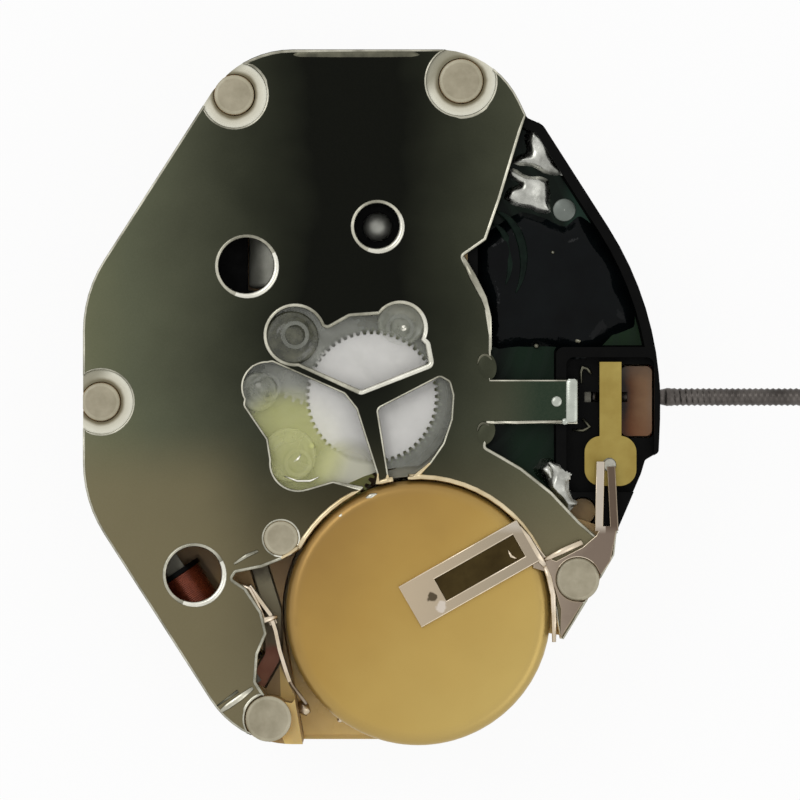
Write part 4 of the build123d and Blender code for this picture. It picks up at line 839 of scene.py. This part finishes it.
# Curls beside the tongue's root: pixel, half-widths and turn
CURLS = [((487, 366), 0.24, 0.36, 0.2), ((486, 433), 0.22, 0.32, -0.4)]
CURL_PROFILE = [(1.0, 2.945), (0.85, 2.965), (0.6, 2.982), (0.3, 2.99), (0.02, 2.992)]
details = Shape()
for line, slot, flat in (
    (CORNER_FOLD, 0, 0.35), (CORNER_SHADE, 1, 0.5), (CRESCENT_LIP, 0, 0.7), (CHIP_EDGE, 0, 0.45),
    (TONGUE_EDGE, 0, 0.8), (TOP_EDGE, 1, 0.4), (RIGHT_GLINT, 2, 0.6), (LEFT_GLINT, 2, 0.6)
):
    details.stroke(line, slot, flat)
for middle, wide, high, turn in CURLS:
    rows = []
    for share, z in CURL_PROFILE:
        row = []
        for step in range(24):
            way = 2 * math.pi * step / 24
            u = share * wide * math.cos(way)
            v = share * high * math.sin(way)
            x, y = px(*middle)[:2]
            row.append(
                (x + u * math.cos(turn) - v * math.sin(turn), y + u * math.sin(turn) + v * math.cos(turn), z)
            )
        rows.append(row)
    details.grid(rows, slot=3, cap_end=True)
    # Painted highlight arc on each curl.
    line = []
    for step in range(9):
        way = math.radians(20 + 150 * step / 8)
        x, y = px(middle[0] - 2, middle[1])[:2]
        line.append((x + 0.8 * wide * math.cos(way), y + 0.8 * high * math.sin(way), 2.965))
    details.bead(line, [0.012 + 0.03 * math.sin(math.pi * step / 8) for step in range(9)], slot=1, flat=0.6)
# A raised crescent in white rim colour in the recess round each upper pin, drawn as a painted highlight.
for x, y, r in PINS[:3]:
    inner = []
    crown = []
    outer = []
    for step in range(33):
        share = math.sin(math.pi * step / 32)
        turn = math.radians(-170 + 260 * step / 32)
        if inside((x + (r + 0.31) * math.cos(turn), y + (r + 0.31) * math.sin(turn)), outline) < 0.02:
            continue
        for row, radius, z in (
            (inner, r + 0.29 - 0.2 * share, 2.865),
            (crown, r + 0.3 - 0.09 * share, 2.87 + 0.055 * share),
            (outer, r + 0.31, 2.875),
        ):
            row.append((x + radius * math.cos(turn), y + radius * math.sin(turn), z))
    details.grid([inner, crown, outer], closed_ring=False, slot=2)
details.make(
    "plate_details", ["rim_bright", "rim_dull", "rim_white", "plate_steel"], "movement"
)

# Bent tab at the end of the tongue, and its raised stud, in a lit copy of the plate's steel as a painted
# highlight
TAB_X = 5.115
TAB_FOOT = 2.93
TAB_PROFILE = [
    (-0.155, TAB_FOOT), (-0.15, 2.97), (-0.11, 2.993), (0, 3.0), (0.11, 2.993), (0.15, 2.97),
    (0.155, TAB_FOOT)
]
# Places along the tab, with the share of the profile that is left there
TAB_SHARES = [(0.46, 0.55), (0.43, 0.9), (0.38, 1), (-0.58, 1), (-0.63, 0.9), (-0.66, 0.55)]
TONGUE_STUD = (556.7, 401.5)
TAB_CORNER = (565, 421.5)
tab = Shape()
rows = []
for y, share in TAB_SHARES:
    rows.append([(TAB_X + dx * share, y, TAB_FOOT + (z - TAB_FOOT) * share) for dx, z in TAB_PROFILE])
tab.grid(rows, closed_ring=False)
for end in (0, len(rows) - 1):
    tab.faces.append(tuple(end * len(TAB_PROFILE) + j for j in range(len(TAB_PROFILE))))
    tab.slots.append(0)
tab.lathe(px(*TONGUE_STUD), [(0.14, 2.945), (0.13, 2.975), (0.09, 2.99), (0.05, 2.996), (0.01, 2.998)], 24)
tab.lathe(px(*TAB_CORNER), [(0.09, 2.945), (0.08, 2.975), (0.04, 2.99), (0.005, 2.994)], 20)
tab.make("tongue_tab", ["tab_bright"], "movement")

# Bosses of the clear bridge over the wheels' pivots
# Pixel, radius and finish of each boss
BOSSES = [((291.5, 338), 0.69, 1), ((402, 321), 0.62, 0), ((289, 455), 0.7, 0), ((258, 392), 0.5, 0)]
# Painted glints: white strokes on the clear bridge and its boss, and a white spark on another boss.
WINDOW_GLINT = [
    (284, 476, 2.83, 0.01), (297, 481, 2.84, 0.03), (310, 481, 2.84, 0.03), (319, 477, 2.83, 0.01)
]
BOSS_GLINT = [(293, 462, 2.85, 0.01), (298, 459, 2.86, 0.03), (301, 454, 2.85, 0.01)]
BOSS_SPARK = (404, 328)
bosses = Shape()
for pixel, r, slot in BOSSES:
    bosses.lathe(
        px(*pixel),
        [
            (r, 2.74), (r, 2.8), (r - 0.05, 2.83), (r - 0.1, 2.83), (r - 0.15, 2.78), (r * 0.55, 2.79),
            (r * 0.45, 2.85), (r * 0.3, 2.87), (r * 0.12, 2.85), (0.01, 2.84)
        ],
        48,
        slots=[slot] * 9,
    )
bosses.stroke(WINDOW_GLINT, 2, 0.5)
bosses.stroke(BOSS_GLINT, 2, 0.5)
bosses.lathe(px(*BOSS_SPARK), [(0.09, 2.83), (0.08, 2.86), (0.01, 2.87)], 16, slots=[2, 2])
bosses.make("bridge_bosses", ["boss_milky", "boss_dark", "rim_white"], "movement")

# Heads of the moulded pins
heads = Shape()
for x, y, r in PINS:
    heads.lathe(
        (x, y),
        [
            (r - 0.005, 2.94), (r - 0.01, 2.965), (r - 0.045, 2.982), (r - 0.09, 2.985), (r * 0.6, 2.978),
            (0.01, 2.974)
        ],
        48,
        slots=[1, 1, 1, 0, 0],
    )
heads.make("pin_heads", ["pin_cream", "pin_rim"], "movement")


def ripple(x, y, k):
    """Smooth irregular wave from -1 to 1."""
    first = math.sin(1.7 * k * x + 0.6)
    second = math.sin(2.3 * k * y + 1.1 * k * x + 2.0)
    third = math.sin(1.3 * k * (x - y) + 4.0)
    return (first + second + third) / 3


def pool(shape, polygon, floor_z, height, soft, step, wave=0.1, k=1.0):
    """Height field over a polygon, sinking under the floor at its edge."""
    xs = [p[0] for p in polygon]
    ys = [p[1] for p in polygon]
    nx = int((max(xs) - min(xs)) / step) + 3
    ny = int((max(ys) - min(ys)) / step) + 3
    table = {}
    for i in range(nx):
        for j in range(ny):
            x = min(xs) - step + i * step
            y = min(ys) - step + j * step
            d = inside((x, y), polygon) + 0.06 * ripple(x, y, 3 * k)
            share = max(-0.2, min(1, d / soft))
            rise = math.sin(share * math.pi / 2) if share > 0 else share
            z = floor_z - 0.01 + height * rise * (1 + wave * ripple(x, y, k * 2)) if share > -0.2 else None
            table[i, j] = (x, y, z)
    index = {}
    for i in range(nx - 1):
        for j in range(ny - 1):
            corners = [(i, j), (i + 1, j), (i + 1, j + 1), (i, j + 1)]
            if any(table[c][2] is None for c in corners):
                continue
            for c in corners:
                if c not in index:
                    index[c] = len(shape.verts)
                    shape.verts.append(table[c])
            shape.faces.append(tuple(index[c] for c in corners))
            shape.slots.append(0)


def level_points(pixels):
    """Points under pixels, without their height."""
    return [px(x, y)[:2] for x, y in pixels]


# Potting over the chip: a wavy black pool on the board
POTTING_PIXELS = [
    (476, 238), (498, 222), (522, 212), (548, 216), (566, 226), (580, 216), (596, 226), (606, 240),
    (622, 274), (634, 306), (638, 328), (628, 331), (612, 334), (600, 352), (575, 356), (560, 348),
    (520, 346), (500, 350), (482, 344)
]
potting = Shape()
pool(potting, level_points(POTTING_PIXELS), BOARD_TOP, height=0.3, soft=0.55, step=0.075, wave=0.12)
potting.make("potting", ["gloss_black"], "movement", ["ic_chip"])

arcs = Shape()
for grow, half, top in ((0.0, 0.1, 2.62), (0.34, 0.11, 2.66)):
    line = []
    for step in range(21):
        turn = math.radians(80 - 120 * step / 20)
        line.append((3.0 + (0.55 + grow) * math.cos(turn), 3.5 + (0.95 + grow) * math.sin(turn), top))
    arcs.bead(line, [half * math.sin(math.pi * (step + 1) / 22) for step in range(21)], flat=0.3)
arcs.make("track_arcs", ["green_arc"], "movement")

# Solder on the board, the test dot and small joints
TOP_PATCH = [
    (528, 120), (539, 122), (552, 146), (568, 172), (558, 176), (545, 171), (522, 165), (510, 161),
    (526, 152), (524, 136)
]
SECOND_PATCH = [
    (506, 165), (525, 173), (539, 175), (550, 179), (551, 211), (535, 212), (516, 205), (500, 199),
    (509, 186), (519, 183), (507, 175)
]
LOW_PATCH = [(531, 469), (541, 460), (550, 459), (560, 466), (560, 494), (551, 490), (543, 480)]
EDGE_PATCH = [
    (550, 463), (560, 464), (569, 475), (568, 490), (573, 499), (577, 504), (567, 511), (556, 497),
    (550, 489)
]
TEST_DOT = (565, 209.3)
CRYSTAL_JOINTS = [(-0.97, 7.64), (-0.97, 7.9)]
JOINT_RADIUS = 0.14
# Pixel, radius and top of each small post
SMALL_POSTS = [
    ((536.7, 345.8), 0.07, 2.5), ((578.5, 340.3), 0.09, 2.62), ((590, 332.4), 0.08, 2.62),
    # The last post stands for a painted glint on the glossy potting.
    ((553, 252), 0.05, 2.68)
]
# Where the joints and the dot start, just under the board's top
JOINT_FOOT = 2.345
solder = Shape()
for patch, floor_z, height, soft in (
    (TOP_PATCH, BOARD_TOP, 0.16, 0.24), (SECOND_PATCH, BOARD_TOP, 0.16, 0.24),
    (LOW_PATCH, BOARD_TOP, 0.44, 0.3), (EDGE_PATCH, PLATE_LOW, 0.13, 0.16)
):
    pool(solder, level_points(patch), floor_z, height, soft, step=0.035, wave=0.28, k=1.7)
solder.lathe(
    px(*TEST_DOT), [(0.295, JOINT_FOOT), (0.295, 2.375), (0.27, 2.39), (0.01, 2.392)], 40, slots=[1, 1, 1]
)
for place in CRYSTAL_JOINTS:
    r = JOINT_RADIUS
    solder.lathe(place, [(r, JOINT_FOOT), (r * 0.8, 2.42), (r * 0.4, 2.46), (0.01, 2.47)], 20)
for pixel, r, top in SMALL_POSTS:
    profile = [(r, JOINT_FOOT), (r, top - 0.03), (r * 0.7, top), (0.01, top + 0.01)]
    solder.lathe(px(*pixel), profile, 16, slots=[2, 2, 2])
solder.make("solder_joints", ["solder", "dot_grey", "rim_dull"], "movement", ["solder_pads"])

# Ends of the wire clip beside the tongue
UPPER_CLIP = [
    (582, 383, 2.36, 0.03), (581.5, 372, 2.36, 0.04), (583, 367, 2.37, 0.06), (588, 368.5, 2.37, 0.05),
    (592, 374, 2.36, 0.03)
]
LOWER_CLIP = [
    (573, 430, 2.36, 0.03), (584, 430.5, 2.37, 0.045), (590.5, 427, 2.37, 0.05), (583, 419, 2.36, 0.03)
]
clip = Shape()
clip.stroke(UPPER_CLIP)
clip.stroke(LOWER_CLIP)
clip.make("clip_ends", ["rim_dull"], "movement")

# Painted highlights: rims of the strap, the lit edge down the battery's side, the strap's bent edge, its
# arm's edge and a glint in its slot
# Heights of the strap's flats, with the half-width of the rim round each
STRAP_RIMS = [(3.07, 0.022), (3.15, 0.035)]
BENT_EDGE = [(519, 527, 3.12, 0.06), (526, 538, 3.13, 0.12), (536, 554, 3.12, 0.11), (545, 566, 3.09, 0.06)]
LIT_EDGE = [
    (543, 562, 3.05, 0.05), (549, 577, 3.06, 0.075), (553, 595, 3.06, 0.075), (554, 620, 3.05, 0.07),
    (554, 642, 3.04, 0.05)
]
ARM_EDGE = [(544, 560, 3.07, 0.05), (562, 551, 3.08, 0.085), (582, 542, 3.08, 0.08)]
SLOT_GLINT = [(508, 550, 3.09, 0.015), (511, 556, 3.095, 0.04), (517, 559, 3.09, 0.02)]
strap = Shape()
for level, half in STRAP_RIMS:
    for loop in edge_loops("contact_strap", level):
        closed = math.dist(loop[0], loop[-1]) < 1e-6
        first = len(strap.faces)
        strap.bead([(x, y, level - half) for x, y in loop], [half] * len(loop), closed)
        for item in range(first, len(strap.faces)):
            x, y, z = strap.verts[strap.faces[item][0]]
            strap.slots[item] = 1 if x > 5.96 or (x > 4.4 and y < -4.3) else 0
for line, flat in ((BENT_EDGE, 0.2), (LIT_EDGE, 0.6), (ARM_EDGE, 0.5), (SLOT_GLINT, 0.6)):
    strap.stroke(line, flat=flat)
strap.make("strap_rims", ["nickel_edge", "nickel_dull"], "movement")

# Marks on the side contact and on the film below it: painted highlights on the blade's hook and arm, a bright
# spot and a dot on the film, and the blade's end
BLADE_HOOK = [(253, 625, 2.72, 0.06), (262, 621, 2.8, 0.09), (277, 617, 2.78, 0.05)]
BLADE_ARM = [(240, 585, 2.76, 0.05), (249, 589, 2.77, 0.06), (256, 602, 2.77, 0.055), (264, 619, 2.77, 0.05)]
FILM_SPOT = [(297, 707, 0.38, 0.08), (302, 713, 0.42, 0.17), (307, 719, 0.38, 0.08)]
BLADE_END = [(286, 673, 2.7, 0.045), (292, 686, 2.6, 0.05), (300, 697, 2.3, 0.05), (306, 706, 1.9, 0.035)]
FILM_DOT = (339, 725)
marks = Shape()
for line, slot, flat in ((BLADE_HOOK, 0, 0.5), (BLADE_ARM, 0, 0.6), (FILM_SPOT, 0, 0.4), (BLADE_END, 1, 0.7)):
    marks.stroke(line, slot, flat)
marks.lathe(px(*FILM_DOT), [(0.08, 0.33), (0.06, 0.38), (0.01, 0.39)], 12, slots=[0, 0])
marks.make("contact_marks", ["nickel_edge", "nickel_dull"], "movement")


# Fine wire of the coil, drawn as close rings
COIL_DIRECTION = math.radians(-56)
COIL_END = (-5.05, -4.5, 1.75)
FLANGE = 0.12
COIL_TURNS = 58
COIL_LENGTH = 2.76
COIL_RADIUS = 0.6
WIRE_DIP = 0.022
STEPS_A_TURN = 4
COIL_SIDES = 40
axis = Vector((math.cos(COIL_DIRECTION), math.sin(COIL_DIRECTION), 0))
across = Vector((-axis.y, axis.x, 0))
coil_start = Vector(COIL_END) + axis * FLANGE
rings = []
steps = COIL_TURNS * STEPS_A_TURN
for step in range(steps + 1):
    share = step / steps
    radius = COIL_RADIUS - WIRE_DIP * (1 - abs(math.sin(math.pi * step / STEPS_A_TURN)))
    radius -= 0.012 * (1 + math.sin(share * 9.0)) * 0.5
    centre = coil_start + axis * (COIL_LENGTH * share)
    row = []
    for item in range(COIL_SIDES):
        turn = 2 * math.pi * item / COIL_SIDES
        point = centre + across * (radius * math.cos(turn))
        row.append((point.x, point.y, point.z + radius * math.sin(turn)))
    rings.append(row)
coil = Shape()
coil.grid(rings, cap_start=True, cap_end=True)
coil.make("coil_turns", ["copper_wire"], "movement", ["coil_winding"])

# Stem: pilot, square, thick bearing part with its groove, tapered neck and rolled thread
AROUND = 32
# Place along the stem and radius of its round parts
PILOT = [(3.4, 0.002), (3.4, 0.09), (3.42, 0.1), (4.3, 0.1)]
BEARING = [
    (5.65, 0.1), (5.65, 0.38), (5.67, 0.4), (5.76, 0.4), (5.78, 0.38), (5.78, 0.28), (6.08, 0.28),
    (6.08, 0.38), (6.1, 0.4), (7.4, 0.4), (7.42, 0.38), (7.42, 0.19), (7.58, 0.225)
]
SQUARE = 0.135
THREAD_START = 7.6
THREAD_LENGTH = 9.76
PITCH = 0.15
RINGS_A_PITCH = 6
RUN_IN = 0.3
CREST = 0.235
GROOVE = 0.036
STEM_END = (17.4, 0.2)


def thread_radius(x, turn):
    """Radius of the rolled thread, which starts shallow."""
    ease = min(1, (x - THREAD_START) / RUN_IN)
    phase = (x / PITCH - turn / (2 * math.pi)) % 1
    return CREST - GROOVE * ease * (1 - abs(2 * phase - 1)) ** 0.8


def stem_row(x, radius=None):
    """Ring of points at a place along the stem, threaded where no radius is given."""
    row = []
    for item in range(AROUND):
        turn = 2 * math.pi * item / AROUND
        r = thread_radius(x, turn) if radius is None else radius
        row.append((x, r * math.cos(turn), STEM_Z + r * math.sin(turn)))
    return row


stem = Shape()
stem.grid([stem_row(x, r) for x, r in PILOT])
rows = []
for x, s in ((4.3, 0.1), (4.3, SQUARE - 0.01), (4.31, SQUARE), (5.65, SQUARE)):
    rows.append([(x, a * s, STEM_Z + b * s) for a, b in ((1, 1), (-1, 1), (-1, -1), (1, -1))])
stem.grid(rows)
rows = [stem_row(x, r) for x, r in BEARING]
steps = int(THREAD_LENGTH / (PITCH / RINGS_A_PITCH))
for step in range(steps + 1):
    rows.append(stem_row(THREAD_START + THREAD_LENGTH * step / steps))
rows.append(stem_row(*STEM_END))
stem.grid(rows, cap_end=True)
stem.make("stem_thread", ["stem_steel"], "crown_stem", ["stem"])


# Stage and camera
def stage_plane(name, size, z):
    mesh = bpy.data.meshes.new(name)
    mesh.from_pydata(
        [(-size, -size, z), (size, -size, z), (size, size, z), (-size, size, z)], [], [(0, 1, 2, 3)]
    )
    thing = bpy.data.objects.new(name, mesh)
    bpy.context.scene.collection.objects.link(thing)
    return thing


def white_to_eye(tree_nodes, links):
    """1 for rays from the camera and those that metal and glass pass on, 0 for the light on the object."""
    path = tree_nodes.new("ShaderNodeLightPath")
    value = path.outputs["Is Camera Ray"]
    for ray in ("Is Glossy Ray", "Is Transmission Ray"):
        more = tree_nodes.new("ShaderNodeMath")
        more.operation = "MAXIMUM"
        links.new(value, more.inputs[0])
        links.new(path.outputs[ray], more.inputs[1])
        value = more.outputs[0]
    return value


floor = stage_plane("floor", 1.0, cad_box[0][2])
paper = Tree("floor_paper")
# Random tone of the paper's own colour, not light or shade.
shade = paper.noise(paper.mm, 0.02, 2)
paper.set(
    {
        "Base Color": paper.ramp(shade, [(0.3, (0.93, 0.93, 0.93, 1)), (0.7, (0.96, 0.96, 0.96, 1))]),
        "Roughness": 0.9, "Specular IOR Level": 0.1
    }
)
glow = paper.nodes.new("ShaderNodeEmission")
glow.inputs["Strength"].default_value = 1.0
blend = paper.nodes.new("ShaderNodeMixShader")
paper.link(paper.math("MULTIPLY", white_to_eye(paper.nodes, paper.links), 0.93), blend.inputs["Fac"])
paper.link(paper.bsdf.outputs["BSDF"], blend.inputs[1])
paper.link(glow.outputs["Emission"], blend.inputs[2])
# From below the floor lets the dial side be seen
clear = paper.nodes.new("ShaderNodeBsdfTransparent")
side = paper.nodes.new("ShaderNodeNewGeometry")
both = paper.nodes.new("ShaderNodeMixShader")
paper.link(side.outputs["Backfacing"], both.inputs["Fac"])
paper.link(blend.outputs["Shader"], both.inputs[1])
paper.link(clear.outputs["BSDF"], both.inputs[2])
paper.link(both.outputs["Shader"], paper.nodes["Material Output"].inputs["Surface"])
floor.data.materials.append(paper.material)

world = bpy.data.worlds.new("studio")
bpy.context.scene.world = world
world.use_nodes = True
sky = world.node_tree.nodes
background = sky["Background"]
background.inputs["Color"].default_value = (1, 1, 1, 1)
level = sky.new("ShaderNodeMapRange")
level.inputs["To Min"].default_value = 0.6
level.inputs["To Max"].default_value = 1.0
world.node_tree.links.new(white_to_eye(sky, world.node_tree.links), level.inputs["Value"])
world.node_tree.links.new(level.outputs["Result"], background.inputs["Strength"])


def lamp(name, place, size, power):
    """Area lamp aimed at the frame's origin."""
    light = bpy.data.lights.new(name, "AREA")
    light.size = size
    light.energy = power
    holder = bpy.data.objects.new(name, light)
    holder.location = place
    holder.rotation_euler = (-Vector(place)).to_track_quat("-Z", "Y").to_euler()
    bpy.context.scene.collection.objects.link(holder)
    return holder


lamp("key", (-0.12, 0.1, 0.22), 0.12, 0.12)
lamp("fill", (0.16, -0.08, 0.18), 0.16, 0.06)

CENTRE = (0.717 * MM, -0.077 * MM)
RANGE = 0.16
camera_data = bpy.data.cameras.new("camera")
camera_data.sensor_width = 36
camera_data.lens = camera_data.sensor_width * RANGE / VIEW_WIDTH
camera_data.clip_start = 0.005
camera_data.clip_end = 5
camera = bpy.data.objects.new("camera", camera_data)
camera.location = (*CENTRE, PLATE_TOP * MM + RANGE)
bpy.context.scene.collection.objects.link(camera)
bpy.context.scene.camera = camera

settings = bpy.context.scene.view_settings
settings.view_transform = "Standard"
